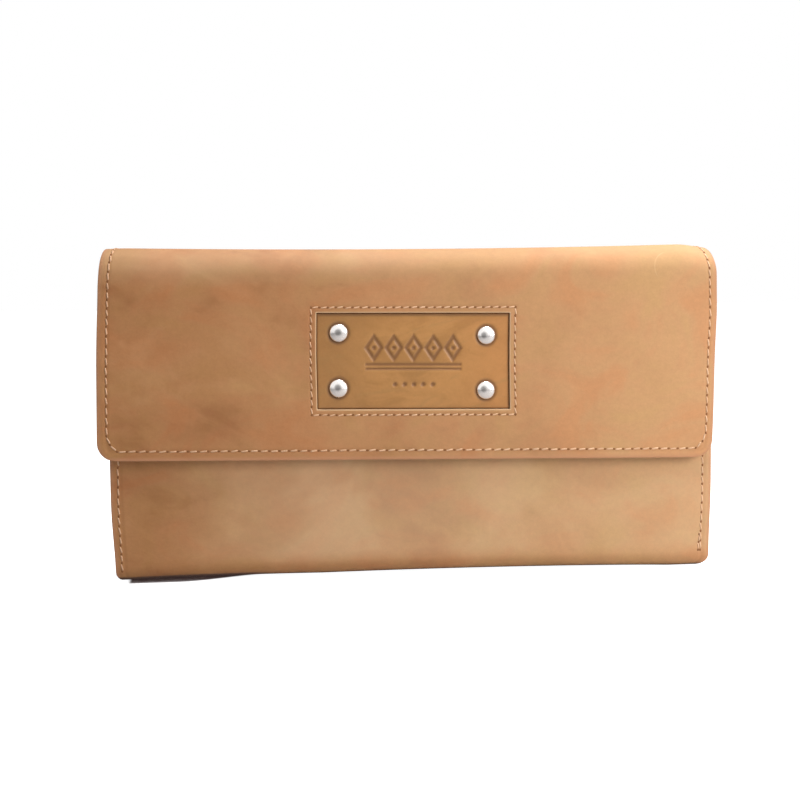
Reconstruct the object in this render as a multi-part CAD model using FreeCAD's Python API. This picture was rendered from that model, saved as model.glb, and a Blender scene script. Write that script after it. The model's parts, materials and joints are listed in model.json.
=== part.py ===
"""Long flap wallet: one hide wrapped round as flap, spine, back, base and front,
lined, with card slots, accordion gussets, a zipped middle pouch, a magnetic snap
and a riveted label plaque.

Millimetres. X runs along the width, -Y is the front, +Z is up.
The origin is under the middle of the wallet's box, on the surface it stands on.
"""
import FreeCAD, Part
import math
import os

Vector = FreeCAD.Vector

# ---- driving dimensions -----------------------------------------------------------
# the hide and what backs it
leather_t = 1.4
interlining_t = 0.6
lining_t = 0.5
interlining_inset = 1.0        # the interlining stops this far inside every cut edge

# the wrapped body
panel_width = 187.0            # back, base and front
height = 102.5
front_height = 87.0
top_fold_r = 8.0               # outer radius of both folds at the top
bottom_fold_r = 5.0            # outer radius of both folds at the base
body_gap = 0.3                 # air kept between pieces that move past each other

# the flap
flap_overhang = 2.5            # how far the flap stands past the panels at each side
flap_drop = 65.4               # from the top of the wallet to the flap's lower edge
flap_corner_r = 5.5
shoulder_drop = 50.0           # the flap's sides draw in over this height
shoulder_inset = 3.0           # and by this much at the top
snap_gap = 2.3                 # air between the flap's lining and the front

# the pockets
card_slot_count = 4
card_slot_t = 0.5
card_slot_top_z = 90.0         # upper edge of the rearmost slot
card_slot_step = 9.0           # each slot in front of it is this much lower
pocket_floor_z = 9.0           # lower edge of the slots and the slip pocket
compartment_gap = 4.3          # air in front of and behind the pouch
slip_pocket_t = 0.5
slip_pocket_top_z = 66.0
slip_pocket_margin = 10.0      # kept clear of the gussets at each side

# the gussets
gusset_t = 0.7
gusset_inset = 2.2             # outer fold, inside the panels' edge
gusset_flange = 4.0            # width sewn to the panels
gusset_reach = 13.0            # inner folds, inside the panels' edge
gusset_top_z = 85.0

# the zipped pouch
pouch_t = 7.8                  # over both walls
pouch_wall_t = 0.7
pouch_lining_t = 0.3
pouch_height = 74.0
pouch_floor_gap = 1.5
pouch_end_t = 0.7
pouch_lining_top_gap = 11.0    # the lining stops this far below the pouch's upper edge

# the zipper
tape_t = 0.4
tape_depth = 10.0              # width of the tape sewn inside the pouch's wall
tape_end_gap = 4.0             # the tape stops this far inside the pouch's ends
chain_end_gap = 10.0           # the chain stops this far inside the pouch's ends
tooth_pitch = 2.6              # along one row
tooth_t = 1.15
tooth_half_height = 0.75
tooth_root = 1.5               # from the chain's centre to the tooth's back
tooth_slot = 0.8               # from the chain's centre to the tape's beaded edge
tooth_nose = 0.5               # the tooth's tip, past the chain's centre
tooth_nose_half_height = 0.4
stop_lap = 0.15                # the end stops stand this far off the chain's centre
stop_length = 1.6

# the slider and its pull
slider_clear = 0.15
slider_plate_t = 0.7
slider_length = 8.5
slider_nose_width = 5.0
slider_tail_width = 4.5
slider_corner = 1.1
slider_tape_clear = 0.2
wedge_length = 2.4
wedge_half_width = 0.75
wedge_set_back = 0.3
crown_hole_r = 0.75
crown_t = 0.8
crown_width = 1.2
pull_bar_r = 0.45
pull_length = 13.0
pull_width = 4.4
pull_tip_width = 3.2
pull_arm_clear = 0.3
pull_hole_r = 0.8

# the label plaque, in a window of the flap
window_width = 59.5
window_height = 29.5
window_lift = 30.3             # the window's centre above the flap's lower edge
window_corner_r = 1.5
plaque_recess = 0.6
plaque_clear = 0.1
plaque_flange = 3.5            # skived edge that lies behind the flap's leather

# the plaque's rivets
rivet_spacing_x = 46.3
rivet_spacing_z = 17.2
rivet_head_r = 2.85
rivet_stand = 1.0              # the dome's height in front of the flap
dome_waist = 0.82              # the dome's slopes meet at this share of its radius
dome_waist_rise = 0.7          # and at this share of its height
dome_crown = 0.45              # its flat crown's share of the radius
rivet_post_r = 1.0
rivet_back_r = 2.4
rivet_back_t = 0.4
rivet_clear = 0.05

# the magnetic snap
snap_lift = 7.0                # the snap's centre above the flap's lower edge
socket_r = 7.0
socket_t = 1.3
socket_hole_r = 2.8
socket_chamfer = 0.35
stud_r = 6.0
stud_air = 0.2
nose_root_r = 2.0
nose_tip_r = 1.4
nose_length = 1.1
shank_r = 1.5
shank_clear = 0.1
stud_washer_r = 4.4
socket_washer_r = 5.5

# ---- the stack, counted forward from the back's outer face ------------------------
shell_t = leather_t + interlining_t + lining_t
cards_front = shell_t + card_slot_count * card_slot_t
pouch_back = cards_front + compartment_gap
pouch_front = pouch_back + pouch_t
slip_pocket_back = pouch_front + compartment_gap
front_inner = slip_pocket_back + slip_pocket_t
front_outer = front_inner + shell_t
flap_inner = front_outer + snap_gap
flap_outer = flap_inner + shell_t
rivet_front = flap_outer + rivet_stand
depth = rivet_front

panel_half = panel_width / 2
flap_half = panel_half + flap_overhang
flap_edge_z = height - flap_drop
window_centre_z = flap_edge_z + window_lift
snap_centre_z = flap_edge_z + snap_lift
shoulder_z = height - shoulder_drop
pouch_floor_z = shell_t + pouch_floor_gap
pouch_top_z = pouch_floor_z + pouch_height
pouch_half = panel_half - gusset_inset - gusset_t - body_gap
zip_z = pouch_top_z - tape_t / 2
far = 2 * (panel_width + height + depth)
touching = 1e-6                # points nearer than this are one point


def y_at(distance):
    """The Y of a face at this distance in front of the back's outer face."""
    return depth / 2 - distance


zip_y = y_at((pouch_back + pouch_front) / 2)

# the folds' centres, and the lines that the body folds about
back_top = (y_at(top_fold_r), height - top_fold_r)
front_top = (y_at(flap_outer - top_fold_r), height - top_fold_r)
back_base = (y_at(bottom_fold_r), bottom_fold_r)
front_base = (y_at(front_outer - bottom_fold_r), bottom_fold_r)


def on_arc(centre, radius, degrees):
    angle = math.radians(degrees)
    return (centre[0] + radius * math.cos(angle), centre[1] + radius * math.sin(angle))


spine_axis = on_arc(back_top, top_fold_r, 45)
flap_axis = on_arc(front_top, top_fold_r, 135)
front_axis = on_arc(front_base, bottom_fold_r, 225)
pouch_axis = (zip_y, pouch_floor_z + pouch_t / 2)


# ---- helpers ----------------------------------------------------------------------
def closed_face(edges):
    return Part.Face(Part.Wire(Part.__sortEdges__(edges)))


def line(start, end):
    return Part.LineSegment(start, end).toShape()


def polygon_prism(points, direction):
    """A prism on a closed polygon of vectors."""
    return Part.Face(Part.makePolygon(points + [points[0]])).extrude(direction)


def sheet(chain, outer, inner):
    """A folded sheet across the whole width, between two depths below an outer line.

    The chain holds straight ends, ("end", point, inward normal), and folds,
    ("fold", centre, radius, first angle, last angle); the sheet lies on each fold's
    inner side.
    """
    def layer(offset):
        edges, ends = [], []
        for item in chain:
            if item[0] == "end":
                (y, z), (ny, nz) = item[1], item[2]
                stops = [(y + offset * ny, z + offset * nz)]
            else:
                centre, radius, first, last = item[1:]
                stops = [on_arc(centre, radius - offset, a) for a in (first, (first + last) / 2, last)]
                edges.append(Part.Arc(*[Vector(0, y, z) for y, z in stops]).toShape())
                stops = [stops[0], stops[-1]]
            if ends and math.dist(ends[-1], stops[0]) > touching:
                edges.append(line(Vector(0, *ends[-1]), Vector(0, *stops[0])))
            ends.extend(stops)
        return edges, ends[0], ends[-1]

    near, near_start, near_end = layer(outer)
    deep, deep_start, deep_end = layer(inner)
    caps = [line(Vector(0, *near_start), Vector(0, *deep_start)),
            line(Vector(0, *near_end), Vector(0, *deep_end))]
    face = closed_face(near + deep + caps)
    solid = face.extrude(Vector(far, 0, 0))
    solid.translate(Vector(-far / 2, 0, 0))
    return solid


def flap_half_width(z):
    """Half the flap's width at a height: straight sides that draw in at the shoulders."""
    rise = max(0.0, z - shoulder_z)
    radius = (shoulder_drop ** 2 + shoulder_inset ** 2) / (2 * shoulder_inset)
    return flap_half - (radius - math.sqrt(radius ** 2 - rise ** 2))


def flap_outline(inset):
    """A prism along Y on the flap's front view: round lower corners, drawn-in shoulders."""
    def at(x, z):
        return Vector(x, -far / 2, z)

    low = flap_edge_z + inset
    r = flap_corner_r - inset
    diagonal = r * (1 - math.sqrt(0.5))
    side = flap_half - inset
    middle_z = shoulder_z + shoulder_drop / 2
    edges = [line(at(-side + r, low), at(side - r, low))]
    for s in (-1, 1):
        edges.append(Part.Arc(at(s * (side - r), low), at(s * (side - diagonal), low + diagonal),
                              at(s * side, low + r)).toShape())
        edges.append(line(at(s * side, low + r), at(s * side, shoulder_z)))
        edges.append(Part.Arc(at(s * side, shoulder_z),
                              at(s * (flap_half_width(middle_z) - inset), middle_z),
                              at(s * (flap_half_width(height) - inset), height)).toShape())
    top = flap_half_width(height) - inset
    edges.append(line(at(-top, height), at(top, height)))
    return closed_face(edges).extrude(Vector(0, far, 0))


def spine_outline(inset):
    """A prism along Z that narrows from the flap's width to the back's."""
    front = flap_half_width(flap_axis[1]) - inset
    back = panel_half - inset
    slope = (front - back) / (spine_axis[0] - flap_axis[0])

    def corner(y, side):
        return Vector(side * (back + slope * (spine_axis[0] - y)), y, 0)

    ends = (flap_axis[0] - top_fold_r, spine_axis[0] + top_fold_r)
    points = [corner(ends[0], -1), corner(ends[0], 1), corner(ends[1], 1), corner(ends[1], -1)]
    return polygon_prism(points, Vector(0, 0, far))


def panel_outline(inset):
    """A slab between the panels' two side edges."""
    return Part.makeBox(panel_width - 2 * inset, far, far, Vector(inset - panel_half, -far / 2, -far / 2))


def plate(half_width, low, high, front, back):
    """A flat sheet between two heights and two distances in the stack."""
    return Part.makeBox(2 * half_width, back - front, high - low, Vector(-half_width, y_at(back), low))


def rounded_slab(width, tall, radius, front, back, z):
    """A slab with round corners in front view, between two distances in the stack."""
    slab = plate(width / 2, z - tall / 2, z + tall / 2, front, back)
    corners = [e for e in slab.Edges if abs(e.Vertexes[0].Y - e.Vertexes[-1].Y) > (back - front) / 2]
    return slab.makeFillet(radius, corners)


def turned(profile, x, z):
    """A round piece about an axis along Y; the profile holds (radius, y), closed on the axis."""
    points = [Vector(x + r, y, z) for r, y in profile]
    face = Part.Face(Part.makePolygon(points + [points[0]]))
    return face.revolve(Vector(x, 0, z), Vector(0, 1, 0), 360)


def disc(radius, front, back, x, z):
    """A round disc or hole between two distances in the stack."""
    return Part.makeCylinder(radius, back - front, Vector(x, y_at(back), z), Vector(0, 1, 0))


def ribbon(path, thickness):
    """A mitred polygon of one thickness along a path in plan."""
    runs = [Vector(b - a).normalize() for a, b in zip(path, path[1:])]
    left, right = [], []
    for here, behind, ahead in zip(path, runs[:1] + runs, runs + runs[-1:]):
        bisector = Vector(ahead + behind).normalize()
        reach = thickness / 2 / bisector.dot(ahead)
        normal = Vector(-bisector.y, bisector.x, 0)
        left.append(here + normal * reach)
        right.append(here - normal * reach)
    return left + right[::-1]


# ---- the wrapped hide with its interlining and lining -----------------------------
back_chain = [("fold", back_top, top_fold_r, 45, 0),
              ("fold", back_base, bottom_fold_r, 0, -90),
              ("fold", front_base, bottom_fold_r, -90, -135)]
spine_chain = [("fold", front_top, top_fold_r, 135, 90),
               ("fold", back_top, top_fold_r, 90, 45)]
front_chain = [("fold", front_base, bottom_fold_r, -135, -180),
               ("end", (y_at(front_outer), front_height), (1, 0))]
flap_chain = [("end", (y_at(flap_outer), 0), (1, 0)),
              ("fold", front_top, top_fold_r, 180, 135)]


def layers(chain, outline):
    """The leather, the interlining and the lining of one panel."""
    depths = [(0, leather_t, 0), (leather_t, leather_t + interlining_t, interlining_inset),
              (leather_t + interlining_t, shell_t, 0)]
    return [sheet(chain, outer, inner).common(outline(inset)) for outer, inner, inset in depths]


def flange_plate(reach, front):
    """A plate behind the flap's leather that stands past the window by its reach all round."""
    half_height = window_height / 2 + reach
    return plate(window_width / 2 + reach, window_centre_z - half_height, window_centre_z + half_height,
                 front, flap_outer - leather_t)


def flap_pieces():
    leather, interlining, lining = layers(flap_chain, flap_outline)
    window = rounded_slab(window_width, window_height, window_corner_r,
                          flap_inner - shell_t, flap_outer + shell_t, window_centre_z)
    bed = flange_plate(plaque_flange, flap_inner)
    stud_bed = disc(stud_washer_r, flap_inner, flap_outer - leather_t, 0, snap_centre_z)
    shank_hole = disc(shank_r + shank_clear, flap_inner - lining_t, flap_outer - leather_t, 0, snap_centre_z)
    return {"flap_leather": leather.cut(window),
            "flap_interlining": interlining.cut(bed).cut(stud_bed),
            "flap_lining": lining.cut(shank_hole)}


def front_pieces():
    leather, interlining, lining = layers(front_chain, panel_outline)
    shank_hole = disc(shank_r + shank_clear, front_outer - leather_t - lining_t, front_outer + lining_t,
                      0, snap_centre_z)
    washer_bed = disc(socket_washer_r, front_inner + lining_t, front_outer - leather_t, 0, snap_centre_z)
    return {"front_leather": leather.cut(shank_hole),
            "front_interlining": interlining.cut(washer_bed),
            "front_lining": lining}


def body_pieces():
    names = ("leather", "interlining", "lining")
    pieces = dict(zip(["back_" + n for n in names], layers(back_chain, panel_outline)))
    pieces.update(zip(["spine_" + n for n in names], layers(spine_chain, spine_outline)))
    return pieces


# ---- pockets and gussets ----------------------------------------------------------
def pocket_pieces():
    pieces = {}
    for i in range(card_slot_count):
        front = shell_t + i * card_slot_t
        top = card_slot_top_z - i * card_slot_step
        pieces["card_slot_%d" % (i + 1)] = plate(panel_half, pocket_floor_z, top, front, front + card_slot_t)
    pieces["front_slip_pocket"] = plate(panel_half - gusset_reach - slip_pocket_margin, pocket_floor_z,
                                        slip_pocket_top_z, slip_pocket_back, front_inner)
    return pieces


def gusset(side):
    """An accordion gusset: two folds inwards and a broad outer fold beside the pouch."""
    edge = panel_half
    sewn = edge - gusset_flange
    valley = edge - gusset_reach
    ridge = edge - gusset_inset - gusset_t / 2
    rear = cards_front + gusset_t / 2
    fore = front_inner - body_gap - gusset_t / 2
    ridge_rear = pouch_back - body_gap - gusset_t / 2
    ridge_fore = pouch_front + body_gap + gusset_t / 2
    plan = [(edge, rear), (sewn, rear), (valley, (rear + ridge_rear) / 2), (ridge, ridge_rear),
            (ridge, ridge_fore), (valley, (ridge_fore + fore) / 2), (sewn, fore), (edge, fore)]
    path = [Vector(side * x, y_at(s), 0) for x, s in plan]
    solid = polygon_prism(ribbon(path, gusset_t), Vector(0, 0, gusset_top_z))
    clear = shell_t + body_gap
    room_chain = [("end", (y_at(0), gusset_top_z), (-1, 0)),
                  ("fold", back_base, bottom_fold_r, 0, -90),
                  ("fold", front_base, bottom_fold_r, -90, -180),
                  ("end", (y_at(front_outer), gusset_top_z), (1, 0))]
    return solid.cut(sheet(room_chain, 0, clear)).cut(
        Part.makeBox(far, far, clear, Vector(-far / 2, -far / 2, 0)))


# ---- the zipped pouch -------------------------------------------------------------
pouch_chain = [("end", (y_at(pouch_back), pouch_top_z), (-1, 0)),
               ("fold", pouch_axis, pouch_t / 2, 0, -90),
               ("fold", pouch_axis, pouch_t / 2, -90, -180),
               ("end", (y_at(pouch_front), pouch_top_z), (1, 0))]
pouch_lining_top_z = pouch_top_z - pouch_lining_top_gap
lining_chain = [("end", (y_at(pouch_back), pouch_lining_top_z), (-1, 0))] + pouch_chain[1:3] + [
    ("end", (y_at(pouch_front), pouch_lining_top_z), (1, 0))]
chain_half = pouch_half - chain_end_gap
slider_nose_x = chain_half + wedge_length + wedge_set_back
slider_centre_x = slider_nose_x - slider_length / 2


def across(half_width):
    return Part.makeBox(2 * half_width, far, far, Vector(-half_width, -far / 2, -far / 2))


def pouch_pieces():
    inner_r = pouch_t / 2 - pouch_wall_t
    lining_end = pouch_half - pouch_end_t
    shell = sheet(pouch_chain, 0, pouch_wall_t).common(across(pouch_half))
    lining = sheet(lining_chain, pouch_wall_t, pouch_wall_t + pouch_lining_t).common(across(lining_end))
    ends = []
    for side in (-1, 1):
        x = min(side * pouch_half, side * lining_end)
        tall = pouch_top_z - tape_t - pouch_axis[1]
        end = Part.makeBox(pouch_end_t, 2 * inner_r, tall, Vector(x, zip_y - inner_r, pouch_axis[1]))
        round_foot = Part.makeCylinder(inner_r, pouch_end_t, Vector(x, *pouch_axis), Vector(1, 0, 0))
        ends.append(end.fuse(round_foot).removeSplitter())
    return {"pouch_shell": shell, "pouch_lining": lining, "pouch_ends": Part.makeCompound(ends)}


def zip_section(side, points, x, length):
    """A prism along X on a section given from the chain's centre, for one side of it."""
    section = [Vector(x, zip_y + side * y, zip_z + z) for y, z in points]
    return polygon_prism(section, Vector(length, 0, 0))


def zipper_tape(side):
    wall = pouch_t / 2 - pouch_wall_t
    low = tape_t / 2 - tape_depth
    points = [(tooth_slot, -tape_t / 2), (wall - tape_t, -tape_t / 2), (wall - tape_t, low),
              (wall, low), (wall, tape_t / 2), (tooth_slot, tape_t / 2)]
    half = pouch_half - pouch_end_t - tape_end_gap
    return zip_section(side, points, -half, 2 * half)


def tooth_points():
    tape = tape_t / 2
    return [(tooth_root, tape), (tooth_slot, tape), (tooth_slot, -tape), (tooth_root, -tape),
            (tooth_root, -tooth_half_height), (-tooth_nose, -tooth_nose_half_height),
            (-tooth_nose, tooth_nose_half_height), (tooth_root, tooth_half_height)]


def zipper_teeth(side):
    """One row of teeth, clamped on the tape's edge; the rows mesh half a pitch apart."""
    count = int(2 * chain_half / tooth_pitch)
    start = chain_half - tooth_t - (0 if side > 0 else tooth_pitch / 2)
    return Part.makeCompound([zip_section(side, tooth_points(), start - i * tooth_pitch, tooth_t)
                              for i in range(count)])


def zipper_stops():
    tape = tape_t / 2
    clamp = [(tooth_root, tape), (tooth_slot, tape), (tooth_slot, -tape), (tooth_root, -tape),
             (tooth_root, -tooth_half_height), (stop_lap, -tooth_half_height),
             (stop_lap, tooth_half_height), (tooth_root, tooth_half_height)]
    top_x = slider_nose_x + slider_clear
    top = Part.makeCompound([zip_section(side, clamp, top_x, stop_length) for side in (-1, 1)])
    bottom_x = -chain_half - stop_length - tooth_pitch / 2
    halves = [zip_section(side, [(y if y > stop_lap else 0, z) for y, z in clamp],
                          bottom_x, stop_length) for side in (-1, 1)]
    return {"zipper_top_stops": top, "zipper_bottom_stop": halves[0].fuse(halves[1]).removeSplitter()}


# ---- slider and pull --------------------------------------------------------------
channel_half = tooth_half_height + slider_clear
slider_half = channel_half + slider_plate_t
crown_r = crown_hole_r + crown_t
pull_axis = (slider_centre_x, zip_z + slider_half + crown_hole_r)


def slider():
    """Two plates over the chain, flanges that guide it, the wedge and the pull's crown."""
    tail = slider_nose_x - slider_length
    nose_w, tail_w = slider_nose_width / 2, slider_tail_width / 2
    plan = [(tail, -tail_w + slider_corner), (tail + slider_corner, -tail_w),
            (slider_nose_x - slider_corner, -nose_w), (slider_nose_x, -nose_w + slider_corner),
            (slider_nose_x, nose_w - slider_corner), (slider_nose_x - slider_corner, nose_w),
            (tail + slider_corner, tail_w), (tail, tail_w - slider_corner)]
    body = polygon_prism([Vector(x, zip_y + y, zip_z - slider_half) for x, y in plan],
                         Vector(0, 0, 2 * slider_half))
    guide = tooth_root + slider_clear
    channel = Part.makeBox(far, 2 * guide, 2 * channel_half,
                           Vector(-far / 2, zip_y - guide, zip_z - channel_half))
    slot_half = tape_t / 2 + slider_tape_clear
    slot = Part.makeBox(far, far, 2 * slot_half, Vector(-far / 2, -far / 2, zip_z - slot_half))
    tip = slider_nose_x - wedge_set_back
    widest = tip - wedge_length / 2
    wedge_plan = [(tip - wedge_length, 0), (widest, wedge_half_width), (tip, wedge_half_width / 2),
                  (tip, -wedge_half_width / 2), (widest, -wedge_half_width)]
    wedge = polygon_prism([Vector(x, zip_y + y, zip_z - channel_half) for x, y in wedge_plan],
                          Vector(0, 0, 2 * channel_half))
    x, z = pull_axis
    seat = zip_z + slider_half

    def arch(radius, width, foot):
        """A round-topped block over the pull's axis, down to the given height."""
        top = Part.makeCylinder(radius, width, Vector(x, zip_y - width / 2, z), Vector(0, 1, 0))
        leg = Part.makeBox(2 * radius, width, z - foot, Vector(x - radius, zip_y - width / 2, foot))
        return top.fuse(leg).removeSplitter()

    crown = arch(crown_r, crown_width, seat - slider_plate_t / 2)
    crown = crown.cut(arch(crown_hole_r, 2 * crown_width, seat))
    return body.cut(channel).cut(slot).fuse(wedge).fuse(crown).removeSplitter()


def pull():
    """A flat tab on a round bar that turns in the slider's crown."""
    x, z = pull_axis
    arm_in = crown_width / 2 + pull_arm_clear
    eye = crown_r + pull_arm_clear
    half, tip = pull_width / 2, pull_tip_width / 2
    end = x - pull_length
    reach = arm_in + 2 * pull_bar_r
    plan = [(x, reach), (x - eye, half), (end + tip, tip), (end, tip / 2),
            (end, -tip / 2), (end + tip, -tip), (x - eye, -half), (x, -reach)]
    tab = polygon_prism([Vector(px, zip_y + py, z - pull_bar_r) for px, py in plan],
                        Vector(0, 0, 2 * pull_bar_r))
    opening = Part.makeBox(eye + far, 2 * arm_in, far, Vector(x - eye, zip_y - arm_in, z - far / 2))
    hang_hole = Part.makeCylinder(pull_hole_r, far, Vector(end + tip + pull_hole_r, zip_y, z - far / 2))
    bar = Part.makeCylinder(pull_bar_r, 2 * reach, Vector(x, zip_y - reach, z), Vector(0, 1, 0))
    return tab.cut(opening).cut(hang_hole).fuse(bar).removeSplitter()


# ---- plaque, rivets and snap ------------------------------------------------------
def rivet_places():
    return [(sx * rivet_spacing_x / 2, window_centre_z + sz * rivet_spacing_z / 2)
            for sx in (-1, 1) for sz in (-1, 1)]


plaque_face = flap_outer - plaque_recess
plaque_rear = flap_outer - leather_t - interlining_t


def plaque():
    """The label: a block that fills the window, with a skived flange behind the leather."""
    block = rounded_slab(window_width - 2 * plaque_clear, window_height - 2 * plaque_clear,
                         window_corner_r - plaque_clear, plaque_rear, plaque_face, window_centre_z)
    solid = block.fuse(flange_plate(plaque_flange - plaque_clear, plaque_rear)).removeSplitter()
    for x, z in rivet_places():
        solid = solid.cut(disc(rivet_post_r + rivet_clear, plaque_rear, plaque_face, x, z))
        solid = solid.cut(disc(rivet_back_r + rivet_clear, plaque_rear, plaque_rear + rivet_back_t, x, z))
    return solid


def rivet_cap(x, z):
    """A domed head, turned with two slopes and a flat crown, and the post through the plaque."""
    seat, post_end, crown = y_at(plaque_face), y_at(plaque_rear + rivet_back_t), y_at(rivet_front)
    profile = [(0, post_end), (rivet_post_r, post_end), (rivet_post_r, seat), (rivet_head_r, seat),
               (rivet_head_r * dome_waist, seat + (crown - seat) * dome_waist_rise),
               (rivet_head_r * dome_crown, crown), (0, crown)]
    return turned(profile, x, z)


def rivet_back(x, z):
    return disc(rivet_back_r, plaque_rear, plaque_rear + rivet_back_t, x, z)


def snap_stud():
    """The flap's half: a disc on the lining, a blunt nose, and a shank to its washer."""
    seat = y_at(flap_inner)
    face = y_at(front_outer + socket_t + stud_air)
    washer = y_at(flap_inner + lining_t)
    profile = [(0, washer), (shank_r, washer), (shank_r, seat), (stud_r, seat), (stud_r, face),
               (nose_root_r, face), (nose_tip_r, face + nose_length), (0, face + nose_length)]
    return turned(profile, 0, snap_centre_z)


def snap_socket():
    """The front's half: a ring with a hole for the nose, and a tubular shank."""
    seat = y_at(front_outer)
    face = y_at(front_outer + socket_t)
    washer = y_at(front_outer - leather_t)
    floor = seat - stud_air / 2
    profile = [(0, washer), (shank_r, washer), (shank_r, seat), (socket_r, seat),
               (socket_r, face + socket_chamfer), (socket_r - socket_chamfer, face),
               (socket_hole_r, face), (socket_hole_r, floor), (0, floor)]
    return turned(profile, 0, snap_centre_z)


def fastener_pieces():
    return {"label_plaque": plaque(),
            "label_rivet_caps": Part.makeCompound([rivet_cap(x, z) for x, z in rivet_places()]),
            "label_rivet_backs": Part.makeCompound([rivet_back(x, z) for x, z in rivet_places()]),
            "snap_stud": snap_stud(),
            "snap_stud_washer": disc(stud_washer_r, flap_inner + lining_t, flap_outer - leather_t,
                                     0, snap_centre_z),
            "snap_socket": snap_socket(),
            "snap_socket_washer": disc(socket_washer_r, front_inner + lining_t, front_outer - leather_t,
                                       0, snap_centre_z)}


# ---- everything, one STEP file to each piece --------------------------------------
def all_pieces():
    pieces = {}
    pieces.update(body_pieces())
    pieces.update(front_pieces())
    pieces.update(flap_pieces())
    pieces.update(pocket_pieces())
    pieces["gusset_left"] = gusset(-1)
    pieces["gusset_right"] = gusset(1)
    pieces.update(pouch_pieces())
    pieces["zipper_tape_front"] = zipper_tape(-1)
    pieces["zipper_tape_back"] = zipper_tape(1)
    pieces["zipper_teeth_front"] = zipper_teeth(-1)
    pieces["zipper_teeth_back"] = zipper_teeth(1)
    pieces.update(zipper_stops())
    pieces["zipper_slider"] = slider()
    pieces["zipper_pull"] = pull()
    pieces.update(fastener_pieces())
    return pieces


os.makedirs("parts", exist_ok=True)
for name, shape in all_pieces().items():
    shape.exportStep("parts/%s.step" % name)
    box = shape.BoundBox
    print("%-20s %3d solid(s) %10.1f mm3  x %7.2f %7.2f  y %7.2f %7.2f  z %7.2f %7.2f" % (
        name, len(shape.Solids), shape.Volume, box.XMin, box.XMax, box.YMin, box.YMax, box.ZMin, box.ZMax))
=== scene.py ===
import json
import math
import random

import bmesh
import bpy
import numpy as np
from mathutils import Euler, Matrix, Vector

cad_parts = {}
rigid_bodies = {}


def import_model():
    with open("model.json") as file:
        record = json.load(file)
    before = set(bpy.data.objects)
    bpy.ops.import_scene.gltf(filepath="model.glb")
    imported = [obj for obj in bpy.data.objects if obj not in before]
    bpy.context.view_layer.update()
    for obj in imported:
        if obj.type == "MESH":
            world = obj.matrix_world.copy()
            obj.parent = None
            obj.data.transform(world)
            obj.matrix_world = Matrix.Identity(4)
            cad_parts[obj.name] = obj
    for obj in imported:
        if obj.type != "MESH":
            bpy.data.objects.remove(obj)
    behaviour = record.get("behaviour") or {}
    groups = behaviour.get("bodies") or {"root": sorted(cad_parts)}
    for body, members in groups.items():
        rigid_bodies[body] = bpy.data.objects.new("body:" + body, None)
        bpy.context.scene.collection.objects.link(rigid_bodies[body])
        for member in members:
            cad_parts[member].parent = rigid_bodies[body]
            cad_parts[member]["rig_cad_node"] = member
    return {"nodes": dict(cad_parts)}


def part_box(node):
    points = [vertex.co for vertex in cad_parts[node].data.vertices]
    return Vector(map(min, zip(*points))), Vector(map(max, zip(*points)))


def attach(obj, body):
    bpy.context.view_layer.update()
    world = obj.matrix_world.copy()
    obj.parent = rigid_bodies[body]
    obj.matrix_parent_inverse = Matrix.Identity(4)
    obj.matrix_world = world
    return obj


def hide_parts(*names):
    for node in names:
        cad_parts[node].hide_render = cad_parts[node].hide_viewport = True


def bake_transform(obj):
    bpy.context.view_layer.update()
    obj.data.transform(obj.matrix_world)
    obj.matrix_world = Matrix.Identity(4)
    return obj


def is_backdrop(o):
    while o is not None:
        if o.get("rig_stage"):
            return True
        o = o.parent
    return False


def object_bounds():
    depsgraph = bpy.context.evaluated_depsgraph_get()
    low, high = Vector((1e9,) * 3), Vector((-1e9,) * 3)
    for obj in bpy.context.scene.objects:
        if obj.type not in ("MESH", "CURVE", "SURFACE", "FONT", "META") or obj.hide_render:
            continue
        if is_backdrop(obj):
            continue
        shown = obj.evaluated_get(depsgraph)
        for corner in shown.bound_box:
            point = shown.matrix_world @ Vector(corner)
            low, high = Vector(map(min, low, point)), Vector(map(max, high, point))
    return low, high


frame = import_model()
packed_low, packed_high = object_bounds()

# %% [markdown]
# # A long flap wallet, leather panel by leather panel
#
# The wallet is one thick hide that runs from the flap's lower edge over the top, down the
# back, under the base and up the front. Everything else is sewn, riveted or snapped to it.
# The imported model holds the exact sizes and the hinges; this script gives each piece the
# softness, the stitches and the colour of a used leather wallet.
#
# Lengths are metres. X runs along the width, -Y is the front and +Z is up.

MM = 0.001
TINY = 0.01 * MM
random.seed(7)


def leave_edit():
    if bpy.context.object is not None and bpy.context.object.mode != "OBJECT":
        bpy.ops.object.mode_set(mode="OBJECT")


def deselect_all():
    leave_edit()
    bpy.ops.object.select_all(action="DESELECT")


def pick(piece):
    deselect_all()
    piece.select_set(True)
    bpy.context.view_layer.objects.active = piece


def edit(piece):
    pick(piece)
    bpy.ops.object.mode_set(mode="EDIT")


def choose(piece, test, kind="VERT"):
    """In edit mode, selects what passes the test and nothing else; returns how many."""
    bpy.ops.mesh.select_mode(type=kind)
    bpy.ops.mesh.select_all(action="DESELECT")
    shell = bmesh.from_edit_mesh(piece.data)
    shell.normal_update()
    items = {"VERT": shell.verts, "EDGE": shell.edges, "FACE": shell.faces}[kind]
    chosen = [item for item in items if test(item)]
    for item in chosen:
        item.select_set(True)
    shell.select_flush_mode()
    bmesh.update_edit_mesh(piece.data)
    return len(chosen)


def middle(item):
    """The centre of an edge or a face."""
    return sum((v.co for v in item.verts), Vector()) / len(item.verts)


# %% Finishing a piece: modifiers, place, normals, shading, numbers for the materials
def settle(piece, modifier):
    pick(piece)
    bpy.ops.object.modifier_apply(modifier=modifier.name)


def still(piece):
    """Puts the piece's place and size into its mesh, so that the object sits at the origin."""
    pick(piece)
    bpy.ops.object.transform_apply(location=True, rotation=True, scale=True)
    return piece


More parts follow.
